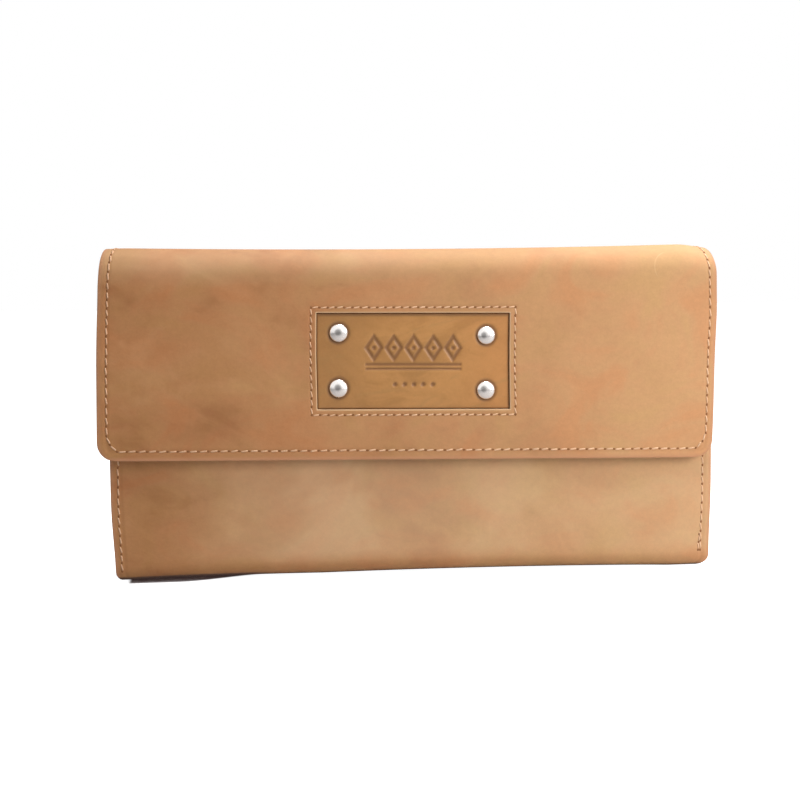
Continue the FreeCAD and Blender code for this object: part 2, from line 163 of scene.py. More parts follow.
def outward(piece):
    edit(piece)
    bpy.ops.mesh.select_all(action="SELECT")
    bpy.ops.mesh.remove_doubles(threshold=TINY)
    bpy.ops.mesh.normals_make_consistent(inside=False)
    leave_edit()


def smooth(piece, degrees=40):
    pick(piece)
    bpy.ops.object.shade_smooth_by_angle(angle=math.radians(degrees))


def places(piece):
    return np.array([v.co for v in piece.data.vertices])


def tell(piece):
    size = (places(piece).max(0) - places(piece).min(0)) / MM
    print("%-22s %6d faces  %6.1f x %5.1f x %5.1f mm" % (piece.name, len(piece.data.polygons), *size))


def move_points(piece, rule):
    """Moves every vertex to where the rule puts it."""
    moved = np.array(rule(places(piece))).astype(np.float32)
    piece.data.vertices.foreach_set("co", moved.ravel())
    piece.data.update()


def store(piece, name, values):
    """Keeps one number, or one vector, for each vertex; materials can read it."""
    values = np.asarray(values).astype(np.float32)
    vector = values.ndim == 2
    layer = piece.data.attributes.new(name, "FLOAT_VECTOR" if vector else "FLOAT", "POINT")
    layer.data.foreach_set("vector" if vector else "value", values.ravel())


def smoothstep(value, low, high):
    t = np.clip((value - low) / (high - low), 0, 1)
    return t * t * (3 - 2 * t)


# %% [markdown]
# ## Where everything is
#
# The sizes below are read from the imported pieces. Only the roundings, which a box doesn't
# show, are written out.

# %% The wallet's measures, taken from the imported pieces
flap_low, flap_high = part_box("flap_leather")
front_low, front_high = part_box("front_leather")

panel_half = front_high.x
flap_half = flap_high.x
top_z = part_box("spine_leather")[1].z
flap_edge_z = flap_low.z
flap_y = flap_low.y
front_y = front_low.y
front_top_z = front_high.z
back_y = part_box("back_leather")[1].y
hide_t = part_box("flap_interlining")[0].y - flap_y
shell_t = back_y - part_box("card_slot_1")[1].y       # hide, interlining and lining together
lining_t = shell_t - hide_t

top_r, base_r = 8 * MM, 5 * MM
corner_r = 5.5 * MM
flap_draw = 0.5 * MM             # the sewn flap's edges have drawn in by this much
shoulder_inset = 2.4 * MM
fold_z = top_z - top_r
front_fold_y, back_fold_y = flap_y + top_r, back_y - top_r
front_base_y, back_base_y = front_y + base_r, back_y - base_r
spine_y = (front_fold_y + back_fold_y) / 2
base_y = (front_base_y + back_base_y) / 2
print("hide %.2f mm, lining with interlining %.2f mm, top at %.1f mm" % (
    hide_t / MM, lining_t / MM, top_z / MM))

# %% [markdown]
# The hide is cut flat. `plan` gives each point its place on the flat hide: across it, and
# along it from the flap's lower edge. Colour, grain and stitches are laid out on that plan,
# so they run over the folds unbroken.

# %% The flat hide and the way it is wrapped
flap_run = fold_z - flap_edge_z
top_arc = math.pi / 2 * top_r
spine_run = back_fold_y - front_fold_y
back_run = fold_z - base_r
base_arc = math.pi / 2 * base_r
base_run = back_base_y - front_base_y
front_run = front_top_z - base_r
stops = np.cumsum([0, flap_run, top_arc, spine_run, top_arc, back_run, base_arc, base_run, base_arc,
                   front_run])
HIDE_LENGTH = stops[-1]
SHOULDER_START = stops[1] - 5 * MM
seam_start = stops[2] + spine_run / 2               # seams meet in the middle of the spine


def wrap(along, lift=0.0):
    """The (y, z) of a place along the hide, and the way its outer face looks there."""
    s = float(np.clip(along, 0, HIDE_LENGTH))
    i = int(np.clip(np.searchsorted(stops, s, side="right") - 1, 0, 8))
    t = s - stops[i]
    flats = {0: (flap_y, flap_edge_z + t, -1, 0), 2: (front_fold_y + t, top_z, 0, 1),
             4: (back_y, fold_z - t, 1, 0), 6: (back_base_y - t, 0, 0, -1), 8: (front_y, base_r + t, -1, 0)}
    folds = {1: (front_fold_y, fold_z, top_r, 180), 3: (back_fold_y, fold_z, top_r, 90),
             5: (back_base_y, base_r, base_r, 0), 7: (front_base_y, base_r, base_r, -90)}
    if i in flats:
        y, z, ny, nz = flats[i]
    else:
        cy, cz, r, first = folds[i]
        angle = math.radians(first) - t / r
        ny, nz = math.cos(angle), math.sin(angle)
        y, z = cy + r * ny, cz + r * nz
    return (y + lift * ny, z + lift * nz), (ny, nz)


# %% From a point on the folded hide back to its place on the flat one
def along_hide(points, part):
    """How far along the flat hide each point lies; part is flap, back or front."""
    y, z = points[:, 1], points[:, 2]
    if part == "flap":
        arc = np.arctan2(z - fold_z, front_fold_y - y)
        s = np.where(z < fold_z, z - flap_edge_z, stops[1] + np.clip(arc, 0, math.pi / 2) * top_r)
        return np.where((y > front_fold_y) & (z > fold_z), stops[2] + y - front_fold_y, s)
    if part == "back":
        arc = np.arctan2(y - back_fold_y, z - fold_z)
        s = np.where(z > fold_z, stops[3] + np.clip(arc, 0, math.pi / 2) * top_r, stops[4] + fold_z - z)
        s = np.where((y < back_fold_y) & (z > fold_z), stops[3] + y - back_fold_y, s)
        low_arc = np.arctan2(base_r - z, y - back_base_y)
        s = np.where(z < base_r, stops[5] + np.clip(low_arc, 0, math.pi / 2) * base_r, s)
        return np.where((y < back_base_y) & (z < base_r), stops[6] + back_base_y - y, s)
    arc = np.arctan2(front_base_y - y, base_r - z)
    s = np.where(z < base_r, stops[7] + np.clip(arc, 0, math.pi / 2) * base_r, stops[8] + z - base_r)
    return np.where((y > front_base_y) & (z < base_r), stops[7] + front_base_y - y, s)


def half_width(along):
    """Half the hide's width at places along it, with the flap's round corners and shoulders."""
    s = np.asarray(along, float)
    rise = np.clip((s - SHOULDER_START) / (stops[2] - SHOULDER_START), 0, 1)
    half = flap_half - flap_draw - shoulder_inset * rise ** 2
    corner = np.clip(corner_r - s, 0, corner_r)
    half = half - (corner_r - np.sqrt(np.clip(corner_r ** 2 - corner ** 2, 0, None)))
    top = flap_half - flap_draw - shoulder_inset
    spine = top + (panel_half - top) * np.clip((s - stops[2]) / spine_run, 0, 1)
    return np.where(s > stops[2], spine, half)


print("the flat hide is %.0f mm long" % (HIDE_LENGTH / MM))
for s in (0, stops[1], stops[3], stops[5], stops[8]):
    print("  at %5.1f mm along: y %6.2f  z %6.2f" % ((s / MM,) + tuple(c / MM for c in wrap(s)[0])))

# %% [markdown]
# ## Leather by the panel
#
# A panel starts as a flat grid at its place. The grid's free edge is swept round the fold
# with a spin and run on with an extrusion, the way a hide is drawn over a form. Only then
# does it get its thickness, and at last the cut edges are rounded over, as an edge tool does.

# %% A grid that stands upright, and its edge swept round a fold
def upright_grid(name, half, low, high, y, columns, rows, facing=-1):
    """A flat grid of faces in an upright plane; facing is -1 to the front, 1 to the back."""
    deselect_all()
    bpy.ops.mesh.primitive_grid_add(x_subdivisions=columns, y_subdivisions=rows, size=1,
                                    location=(0, y, (low + high) / 2),
                                    rotation=(math.pi / 2, 0, 0 if facing < 0 else math.pi))
    piece = bpy.context.object
    piece.name = name
    piece.data.name = name
    piece.scale = (2 * half, high - low, 1)
    return still(piece)


def sweep_edge(piece, test, centre, degrees, steps):
    """Picks an edge of the sheet and spins it about a line along X; new faces follow it."""
    edit(piece)
    choose(piece, test)
    bpy.ops.mesh.spin(steps=steps, angle=math.radians(degrees), center=centre, axis=(1, 0, 0))
    leave_edit()


def run_edge(piece, test, shift, steps):
    """Picks an edge and extrudes it along a straight line in equal steps."""
    edit(piece)
    choose(piece, test)
    for step in range(steps):
        bpy.ops.mesh.extrude_region_move(
            TRANSFORM_OT_translate={"value": [c / steps for c in shift]})
    leave_edit()


def thicken(piece, thickness):
    """Gives the sheet its thickness on its inner side."""
    layer = piece.modifiers.new("thickness", "SOLIDIFY")
    layer.thickness = thickness
    layer.offset = -1
    layer.use_even_offset = True
    settle(piece, layer)


def round_rims(piece, width, keep=None, segments=2, sharp=60):
    """Rounds the cut edges; an edge for which keep is true stays as it is."""
    edit(piece)

    def is_rim(e):
        turns = len(e.link_faces) == 2 and e.calc_face_angle(0) > math.radians(sharp)
        return turns and not (keep and keep(e))

    choose(piece, is_rim, "EDGE")
    bpy.ops.mesh.bevel(offset=width, segments=segments, affect="EDGES", clamp_overlap=True)
    leave_edit()


def open_ends(piece, test):
    """Takes away the end faces where two panels meet, so that they look like one hide."""
    edit(piece)
    choose(piece, test, "FACE")
    bpy.ops.mesh.delete(type="ONLY_FACE")
    leave_edit()


# %% [markdown]
# The flap is the face of the wallet. Its rows of faces lie closer together at the lower
# corners, so that squeezing the rows to the outline's width gives round corners.

# %% The flap panel: grid, fold, half the spine, outline
CORNER_ROWS = np.array([0, 0.5, 1.1, 1.9, 2.9, 4.1, 5.5]) / 5.5    # shares of the corner's radius


def pack_rows(points, low, high, rows):
    """Spreads the rows of a grid: close ones through the corner, even ones above it."""
    corner = CORNER_ROWS * corner_r
    even = np.linspace(corner_r, high - low, rows + 2 - len(corner))[1:]
    levels = low + np.concatenate([corner, even])
    index = np.rint((points[:, 2] - low) / (high - low) * rows).astype(int)
    points[:, 2] = levels[index]
    return points


def to_outline(points, part):
    """Draws the outer strip of a panel in to the hide's outline."""
    half = half_width(along_hide(points, part))
    full = flap_half if part == "flap" else panel_half
    inner = full - 14 * MM
    x = np.abs(points[:, 0])
    drawn = np.where(x > inner, inner + (x - inner) * (half - inner) / (full - inner), x)
    points[:, 0] = np.sign(points[:, 0]) * drawn
    return points


def flap_sheet(name, depth, fine):
    """The flap, its fold and half the spine, on a face this deep below the hide's outside."""
    columns, rows = int(flap_half * 2 / fine), int(flap_run / fine) + 3
    piece = upright_grid(name, flap_half, flap_edge_z, fold_z, flap_y + depth, columns, rows)
    move_points(piece, lambda p: pack_rows(p, flap_edge_z, fold_z, rows))
    sweep_edge(piece, lambda v: v.co.z > fold_z - TINY, (0, front_fold_y, fold_z), 90, 12)
    run_edge(piece, lambda v: v.co.z > top_z - depth - TINY and v.co.y > front_fold_y - TINY,
             (0, spine_run / 2, 0), 5)
    move_points(piece, lambda p: to_outline(p, "flap"))
    return piece


hide_flap = flap_sheet("hide_flap", 0, 1.5 * MM)
tell(hide_flap)


# %% The back panel and the front panel, drawn the same way
def back_sheet(name, depth, fine):
    columns, rows = int(panel_half * 2 / fine), int(back_run / fine)
    piece = upright_grid(name, panel_half, base_r, fold_z, back_y - depth, columns, rows, facing=1)
    sweep_edge(piece, lambda v: v.co.z > fold_z - TINY, (0, back_fold_y, fold_z), -90, 12)
    run_edge(piece, lambda v: v.co.z > top_z - depth - TINY and v.co.y < back_fold_y + TINY,
             (0, -spine_run / 2, 0), 5)
    sweep_edge(piece, lambda v: v.co.z < base_r + TINY and v.co.y > back_y - depth - TINY,
               (0, back_base_y, base_r), 90, 8)
    run_edge(piece, lambda v: v.co.z < depth + TINY and v.co.y < back_base_y + TINY,
             (0, -base_run / 2, 0), 5)
    move_points(piece, lambda p: to_outline(p, "back"))
    return piece


def front_sheet(name, depth, fine):
    columns, rows = int(panel_half * 2 / fine), int(front_run / fine)
    piece = upright_grid(name, panel_half, base_r, front_top_z, front_y + depth, columns, rows)
    sweep_edge(piece, lambda v: v.co.z < base_r + TINY, (0, front_base_y, base_r), -90, 8)
    run_edge(piece, lambda v: v.co.z < depth + TINY and v.co.y > front_base_y - TINY,
             (0, base_run / 2, 0), 5)
    return piece


hide_back = back_sheet("hide_back", 0, 2.2 * MM)
hide_front = front_sheet("hide_front", 0, 1.5 * MM)
for piece in (hide_back, hide_front):
    tell(piece)

# %% [markdown]
# The window is cut from the flap after it is drawn, as a clicker die would, and then every
# panel gets its thickness. Bisecting the sheet along the window's four sides gives clean
# edges to cut along; the faces between them are deleted.

# %% The window, the thickness and the rounded cut edges
plaque_low, plaque_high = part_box("label_plaque")
window_z = (plaque_low.z + plaque_high.z) / 2
window_half, window_tall = 59.5 / 2 * MM, 29.5 / 2 * MM         # half its width and its height


def in_window(face):
    place = middle(face)
    return abs(place.x) < window_half and abs(place.z - window_z) < window_tall


def cut_window(piece):
    edit(piece)
    for sign in (1, -1):
        for point, normal in (((sign * window_half, 0, 0), (1, 0, 0)),
                              ((0, 0, window_z + sign * window_tall), (0, 0, 1))):
            bpy.ops.mesh.select_all(action="SELECT")
            bpy.ops.mesh.bisect(plane_co=point, plane_no=normal)
    count = choose(piece, in_window, "FACE")
    bpy.ops.mesh.delete(type="FACE")
    leave_edit()
    return count


print("window: %d faces cut away" % cut_window(hide_flap))


def where_panels_meet(item):
    """In the middle of the spine or of the base, where one hide is made of two meshes."""
    place = middle(item)
    on_spine = abs(place.y - spine_y) < TINY and place.z > fold_z
    on_base = abs(place.y - base_y) < TINY and place.z < base_r
    return on_spine or on_base


for piece in (hide_flap, hide_back, hide_front):
    thicken(piece, hide_t)
    open_ends(piece, where_panels_meet)
    round_rims(piece, 0.3 * MM, keep=where_panels_meet)
    tell(piece)

# %% [markdown]
# The lining is made from the same forms, one hide's thickness further in. It carries the
# stiff interlining between it and the hide, so it is as thick as both.

# %% The linings
lining_flap = flap_sheet("lining_flap", hide_t, 3 * MM)
lining_back = back_sheet("lining_back", hide_t, 5 * MM)
lining_front = front_sheet("lining_front", hide_t, 4 * MM)
for piece in (lining_flap, lining_back, lining_front):
    thicken(piece, lining_t)
    open_ends(piece, where_panels_meet)
    tell(piece)

# %% [markdown]
# ## What makes it look used
#
# A wallet never stays as flat as its pattern. The flap is sewn a little off square, its
# cut edges fall back towards the wallet, and the spine dips between its ends. `wear_flap`,
# `wear_back` and `wear_front` hold these small moves; each piece sewn to a panel gets the
# panel's own move, so that nothing parts from it.

# %% The small moves that take the stiffness out
FLAP_TURN = math.radians(1.0)
FLAP_SLIP = -1.2 * MM
TOP_DIP, TOP_DRAW, RIGHT_DROOP, LEFT_DROOP = 0.9 * MM, 0.75 * MM, 1.3 * MM, 0.2 * MM
BASE_BOW, LEFT_RAISE, CORNER_DRAW = 1.3 * MM, 1.0 * MM, 0.45 * MM
RIGHT_RUB, LEFT_RUB = 3.6 * MM, 4.2 * MM            # radii of the rubbed lower corners
SIDE_FALL, LOW_FALL = 1.1 * MM, 0.9 * MM            # how far the flap's edges fall back


def sag(p):
    """The top dips between its ends, droops at its corners and is drawn in on the right."""
    x = p[:, 0].copy()
    high = smoothstep(p[:, 2], fold_z - 14 * MM, fold_z - 2 * MM)
    near_top = smoothstep(p[:, 2], fold_z - 12 * MM, top_z)
    p[:, 0] -= TOP_DRAW * smoothstep(x, 62 * MM, 92 * MM) * high
    p[:, 2] -= TOP_DIP * near_top * np.clip(1 - (x / (88 * MM)) ** 2, 0, 1)
    p[:, 2] -= near_top * RIGHT_DROOP * smoothstep(x, 84 * MM, 96 * MM)
    p[:, 2] -= near_top * LEFT_DROOP * smoothstep(-x, 86 * MM, 95 * MM)
    return p


def drawn_in(points):
    """The lower left corner is drawn in a little, all the way through."""
    p = np.array(points, float)
    low = 1 - smoothstep(p[:, 2], 0, 22 * MM)
    p[:, 0] += CORNER_DRAW * smoothstep(-p[:, 0], 50 * MM, 88 * MM) * low
    return p


def base_bow(p):
    """The base is bowed up a little, and its corners are rubbed round."""
    x, near_base = p[:, 0].copy(), 1 - smoothstep(p[:, 2], 0, 14 * MM)
    p[:, 2] += BASE_BOW * near_base * np.clip(1 - ((x + 4 * MM) / (86 * MM)) ** 2, 0, 1) ** 0.9
    to_front = 1 - smoothstep(p[:, 1], front_base_y, base_y)
    p[:, 2] += LEFT_RAISE * near_base * to_front * np.clip((-x / MM - 30) / 56, 0, 1) ** 0.9
    r = np.where(x > 0, RIGHT_RUB, LEFT_RUB)
    low = np.clip(r - p[:, 2], 0, r)
    ends = smoothstep(np.abs(x), 70 * MM, panel_half)
    p[:, 0] -= np.sign(x) * (r - np.sqrt(r ** 2 - low ** 2)) * ends
    return drawn_in(p)


# %% How the flap, the back and the front are worn
def wear_flap(points):
    """The flap has slipped and turned a little, and its edges fall back, least on the left."""
    p = sag(np.array(points, float))
    x, drop = p[:, 0].copy(), np.clip(fold_z - p[:, 2], 0, None)
    lean = 1 - smoothstep(p[:, 1], front_fold_y, back_fold_y)
    p[:, 0] += FLAP_SLIP * (0.5 * lean + 0.5 * smoothstep(drop, 0, 30 * MM))
    at_window = fold_z - window_z
    middle_lean = (drop - at_window) * math.sin(0.6 * FLAP_TURN) - at_window * math.sin(FLAP_TURN)
    middle_lean *= smoothstep(drop, 0, 14 * MM)
    outer = smoothstep(np.abs(x), 40 * MM, 85 * MM)
    p[:, 0] += -drop * math.sin(FLAP_TURN) * outer + middle_lean * (1 - outer)
    p[:, 2] -= x * math.sin(FLAP_TURN) * smoothstep(drop, 0, 20 * MM)
    side = np.clip((np.abs(x) - 60 * MM) / (36 * MM), 0, 1)
    low = np.clip((drop - 38 * MM) / (20 * MM), 0, 1)
    fall = SIDE_FALL * side ** 2 + LOW_FALL * low ** 2
    p[:, 1] += fall * smoothstep(drop, 0, 14 * MM) * (1 - 0.5 * smoothstep(-x, 20 * MM, 80 * MM))
    return p


def wear_back(points):
    p = base_bow(sag(np.array(points, float)))
    lean = 1 - smoothstep(p[:, 1], front_fold_y, back_fold_y)
    p[:, 0] += np.where(p[:, 2] > fold_z, FLAP_SLIP * 0.5 * lean, 0)
    return p


def wear_front(points):
    p = base_bow(np.array(points, float))
    x = p[:, 0].copy()
    p[:, 0] += x / panel_half * 0.6 * MM * smoothstep(p[:, 2], 4 * MM, 28 * MM)
    return p


# %% Each panel is laid out flat for its materials, and then worn
FAR = 50 * MM                                       # a panel without a window is this far from it


def lay_out(piece, part):
    """Stores each point's place on the flat hide, how far it is from a cut edge and from the window, and a
    painted shade along the base.
    """
    x, y, z = places(piece).T
    s = along_hide(places(piece), part)
    edge = np.minimum(half_width(s) - np.abs(x), s if part == "flap" else HIDE_LENGTH - s)
    window = np.maximum(np.abs(x) - window_half, np.abs(z - window_z) - window_tall)
    # A painted shade along the front's base: the hide is darkened below 1.25 mm at the left end and 0.5 mm
    # from the middle to the right.
    base_shade_to = 1.25 * MM - 0.75 * MM * smoothstep(x, -70 * MM, -25 * MM)
    store(piece, "plan", np.column_stack([x, s, np.zeros(len(s))]))
    store(piece, "to_edge", edge)
    store(piece, "to_window", window if part == "flap" else np.full(len(s), FAR))
    store(piece, "base_shade", 1 - smoothstep(z, base_shade_to - 0.25 * MM, base_shade_to + 0.15 * MM))


for piece, part, wear in ((hide_flap, "flap", wear_flap), (lining_flap, "flap", wear_flap),
                          (hide_back, "back", wear_back), (lining_back, "back", wear_back),
                          (hide_front, "front", wear_front), (lining_front, "front", wear_front)):
    lay_out(piece, part)
    move_points(piece, wear)
    smooth(piece)
    print("%-14s laid out and worn" % piece.name)

# %% [markdown]
# ## Camera, light and background
#
# A small thing is shown best from a little above and with a long lens, which keeps its
# edges parallel. The camera looks at the wallet's middle from half a metre away.

# %% The camera
SENSOR = 36


def aim_camera(azimuth, elevation, roll, distance, aim, lens, shift):
    """A camera at this distance from its aim; the shift is a share of the picture's width."""
    a, e, r = (math.radians(angle) for angle in (azimuth, elevation, roll))
    back = Vector((math.sin(a) * math.cos(e), -math.cos(a) * math.cos(e), math.sin(e)))
    right = (-back).cross(Vector((0, 0, 1))).normalized()
    up = right.cross(-back)
    turned = math.cos(r) * right + math.sin(r) * up, math.cos(r) * up - math.sin(r) * right
    deselect_all()
    bpy.ops.object.camera_add()
    camera = bpy.context.object
    camera.matrix_world = Matrix.Translation(Vector(aim) + back * distance) @ Matrix(
        (turned[0], turned[1], back)).transposed().to_4x4()
    camera.data.sensor_width = SENSOR
    camera.data.lens = lens
    camera.data.shift_x, camera.data.shift_y = shift
    camera.data.clip_start, camera.data.clip_end = 10 * MM, 20
    bpy.context.scene.camera = camera
    return camera


camera = aim_camera(-7.5, 5.0, -0.5, 520 * MM, (0, 0, 52.5 * MM), 74.34, (-0.016875, 0.00725))
print("camera at", [round(c / MM) for c in camera.location])

# %% Light, floor and background
def soft_light(name, place, target, size, watts):
    deselect_all()
    bpy.ops.object.light_add(type="AREA", location=place)
    light = bpy.context.object
    light.name = name
    light.rotation_euler = (Vector(target) - Vector(place)).to_track_quat("-Z", "Y").to_euler()
    light.data.shape = "RECTANGLE"
    light.data.size, light.data.size_y = size
    light.data.energy = watts
    print("%s: %.2f W" % (name, watts))


soft_light("key_light", (0.44, -0.36, 0.27), (0.03, 0, 0.06), (0.28, 0.28), 2.45)
soft_light("top_light", (0.14, -0.02, 0.50), (0.04, 0, 0.1), (0.5, 0.2), 3.25)

deselect_all()
bpy.ops.mesh.primitive_plane_add(size=6, location=(0, 0, 0))
floor = bpy.context.object
floor.name = "floor"
floor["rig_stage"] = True
scene = bpy.context.scene
scene.view_settings.view_transform = "Standard"

# %% [markdown]
# A material is a small network of nodes. The helpers below only add a node and wire its
# inputs, so that each finish can be read as a recipe: what lies over what, and how much.

# %% Parts of a material
def new_material(name):
    material = bpy.data.materials.new(name)
    material.use_nodes = True
    material.node_tree.nodes.clear()
    return material, material.node_tree


def add(tree, kind, **settings):
    """A node; settings named in_NAME or in_0 go to its inputs, the others to itself."""
    node = tree.nodes.new(kind)
    for key, value in settings.items():
        if key.startswith("in_"):
            socket = key[3:].replace("_", " ")
            socket = node.inputs[int(socket)] if socket.isdigit() else node.inputs[socket]
            if isinstance(value, bpy.types.NodeSocket):
                tree.links.new(value, socket)
            else:
                socket.default_value = value
        else:
            setattr(node, key, value)
    return node


def math_node(tree, operation, a, b=0.0, clamp=False):
    return add(tree, "ShaderNodeMath", operation=operation, use_clamp=clamp, in_0=a, in_1=b).outputs[0]


def blend_colour(tree, factor, a, b, how="MIX"):
    node = tree.nodes.new("ShaderNodeMix")
    node.data_type, node.blend_type = "RGBA", how
    for socket, value in ((node.inputs[0], factor), (node.inputs[6], a), (node.inputs[7], b)):
        if isinstance(value, bpy.types.NodeSocket):
            tree.links.new(value, socket)
        else:
            socket.default_value = value
    return node.outputs[2]

# %% [markdown]
# ## The label
#
# The label is a separate piece of thicker, glazed leather that lies behind the window and
# is held by four rivets. On the real wallet it is pressed with a hot brass tool while damp,
# which leaves the pattern low and dark. Here the grid is fine enough for the tool's marks
# to be true hollows: a row of lozenges over a double rule and five dots. It is a plain
# bookbinder's pattern.

# %% The label's face, its tooled pattern and the hollows round the rivets
label_face = flap_y + 0.6 * MM
label_gap = 0.1 * MM
label_t = 0.75 * MM
rivet_x, rivet_z = 45.5 / 2 * MM, 16.9 / 2 * MM     # half the rivets' spacing
rivet_r = 2.85 * MM
turned = math.sin(math.radians(0.7))                # the four rivets are set a little askew
rivet_places = [(sx * rivet_x + sz * rivet_z * turned - 0.3 * MM,
                 window_z + sz * rivet_z - sx * rivet_x * turned - 0.2 * MM)
                for sx in (-1, 1) for sz in (-1, 1)]
LOZENGE_STEP, LOZENGE_UP = 6.1 * MM, 4.0 * MM
RULES, RULE_HALF = (-1.1 * MM, -2.4 * MM), 14.6 * MM
DOT_STEP, DOT_UP = 2.9 * MM, -7.2 * MM
TOOL_DEPTH, RING_DEPTH, PILLOW = 0.30 * MM, 0.25 * MM, 0.3 * MM


def pressed(x, z):
    """How deep the tool has gone at a place on the label, from 0 to 1."""
    depth = np.zeros(len(x))

    def mark(distance):
        return np.maximum(depth, 1 - smoothstep(distance, 0, 0.35 * MM))

    for i in range(-2, 3):
        off_x, off_z = x - i * LOZENGE_STEP, z - LOZENGE_UP
        size = np.abs(off_x) / 2.3 + np.abs(off_z) / 3.4
        depth = mark(np.abs(size - 1.0 * MM) * 1.7 - 0.28 * MM)
        depth = mark(np.hypot(off_x, off_z) - 0.45 * MM)
        depth = mark(np.hypot(x - i * DOT_STEP, z - DOT_UP) - 0.5 * MM)
    for level in RULES:
        depth = mark(np.maximum(np.abs(z - level) - 0.18 * MM, np.abs(x) - RULE_HALF))
    return depth


def near_rivet(x, z, reach):
    gap = np.min([np.hypot(x - rx, z - rz) for rx, rz in rivet_places], axis=0)
    return 1 - smoothstep(gap, rivet_r - 0.2 * MM, rivet_r + reach)


label = upright_grid("label", window_half - label_gap, window_z - window_tall + label_gap,
                     window_z + window_tall - label_gap, label_face, 150, 74)
thicken(label, label_t)
round_rims(label, 0.25 * MM)
points = places(label)
x, z = points[:, 0], points[:, 2] - window_z
on_face = points[:, 1] < label_face + 0.1 * MM
tool_depth = pressed(x, z) * on_face
ring_depth = near_rivet(x, points[:, 2], 1.15 * MM) * on_face
pillow = (1 - (x / window_half) ** 4) * (1 - (z / window_tall) ** 4) * on_face
points[:, 1] += TOOL_DEPTH * tool_depth + RING_DEPTH * ring_depth - PILLOW * pillow
to_top = window_tall - z
to_other_sides = np.minimum(window_half - np.abs(x), window_tall + z)
shade = np.maximum(1 - smoothstep(to_top, 0.4 * MM, 1.4 * MM),
                   0.9 - 0.9 * smoothstep(to_other_sides, 0.25 * MM, 0.75 * MM))
for name, values in (("tooled", tool_depth), ("ring", ring_depth), ("shade", shade)):
    store(label, name, values)
move_points(label, lambda p: wear_flap(points))
smooth(label, 50)
tell(label)

# %% [markdown]
# Each rivet is a pressed cap. A sphere is flattened to the cap's height, cut at its widest
# ring, and the ring is drawn back towards the leather, where the cap's rim turns under.

# %% The rivet caps
cap_height, rim_turn = 1.25 * MM, 0.3 * MM


def ball(size, segments, rings):
    """A sphere at the origin, squeezed to these three half sizes."""
    deselect_all()
    bpy.ops.mesh.primitive_uv_sphere_add(segments=segments, ring_count=rings, radius=1, location=(0, 0, 0))
    piece = bpy.context.object
    piece.scale = size
    return still(piece)


def rivet_cap(place, lean):
    cap = ball((rivet_r, rivet_r, cap_height), 32, 20)
    edit(cap)
    bpy.ops.mesh.select_all(action="SELECT")
    bpy.ops.mesh.bisect(plane_co=(0, 0, 0), plane_no=(0, 0, 1), clear_inner=True)
    choose(cap, lambda v: abs(v.co.z) < TINY)
    bpy.ops.mesh.extrude_region_move(TRANSFORM_OT_translate={"value": (0, 0, -rim_turn)})
    bpy.ops.transform.resize(value=(0.96, 0.96, 1))
    leave_edit()
    cap.rotation_euler = Euler((math.pi / 2 + lean[0], 0, lean[1]))
    cap.location = (place[0], label_face - 0.1 * MM, place[1])
    return still(cap)


def stray(reach):
    """A small pair of chance amounts."""
    return random.uniform(-reach, reach), random.uniform(-reach, reach)


def join(name, pieces):
    pick(pieces[0])
    for piece in pieces:
        piece.select_set(True)
    bpy.ops.object.join()
    bpy.context.object.name = name
    return bpy.context.object


rivets = join("rivets", [rivet_cap(place, stray(0.05)) for place in rivet_places])
move_points(rivets, wear_flap)
smooth(rivets, 60)
tell(rivets)

# %% [markdown]
# ## Stitches
#
# Saddle stitching is two waxed threads that pass through the same slanted holes from both sides. From outside
# each stitch is a short plump strand that dives into the leather at both ends. One strand is modelled and
# repeated along the seam's line on the flat hide; `wrap` then lays it on the folded hide. A small dark disc
# at each needle hole is painted shade in the hole.

# %% One strand of thread, and one needle hole
def pattern_of(piece):
    """A piece's points and faces, to be repeated; the piece itself goes."""
    points, faces = places(piece), [tuple(f.vertices) for f in piece.data.polygons]
    bpy.data.objects.remove(piece)
    return points, faces


def strand(length, thick):
    """A strand along X with its ends turned down; Z is away from the leather."""
    deselect_all()
    bpy.ops.mesh.primitive_cylinder_add(vertices=8, radius=0.5, depth=1, end_fill_type="TRIFAN",
                                        rotation=(0, math.pi / 2, 0))
    piece = bpy.context.object
    still(piece)
    edit(piece)
    for cut in (-0.36, -0.2, 0, 0.2, 0.36):
        bpy.ops.mesh.select_all(action="SELECT")
        bpy.ops.mesh.bisect(plane_co=(cut, 0, 0), plane_no=(1, 0, 0))
    leave_edit()

    def shape(p):
        x = p[:, 0] * 2
        girth = thick * np.sqrt(np.clip(1 - np.abs(x) ** 3 * 0.55, 0.1, 1))
        return np.column_stack([p[:, 0] * length, p[:, 1] * girth,
                                0.8 * p[:, 2] * girth + thick * (0.05 - 0.45 * x ** 4)])

    move_points(piece, shape)
    return pattern_of(piece)


THREAD, HOLE = 0.50 * MM, 0.40 * MM
# Each needle hole is a flattened dark disc: painted shade in the hole.
hole = pattern_of(ball((HOLE * 1.15, HOLE * 0.85, 0.1 * MM), 10, 6))
print("one needle hole: %d faces" % len(hole[1]))


# %% Repeating a pattern, and the line that a seam follows
def repeat(name, pattern, frames):
    """One mesh of many copies; each frame is a place and three axes."""
    points, faces = pattern
    every_point, every_face = [], []
    for place, axes in frames:
        first = len(every_point) * len(points)
        every_point.append(points @ np.array(axes) + np.array(place))
        every_face += [[i + first for i in face] for face in faces]
    mesh = bpy.data.meshes.new(name)
    mesh.from_pydata(np.concatenate(every_point).tolist(), [], every_face)
    piece = bpy.data.objects.new(name, mesh)
    bpy.context.scene.collection.objects.link(piece)
    around = np.arctan2(points[:, 2] - points[:, 2].mean(), points[:, 1]) / (2 * math.pi)
    store(piece, "along", np.tile(points[:, 0], len(frames)) / MM)
    store(piece, "around", np.tile(around, len(frames)))
    store(piece, "which", np.repeat(np.arange(len(frames)), len(points)))
    return piece


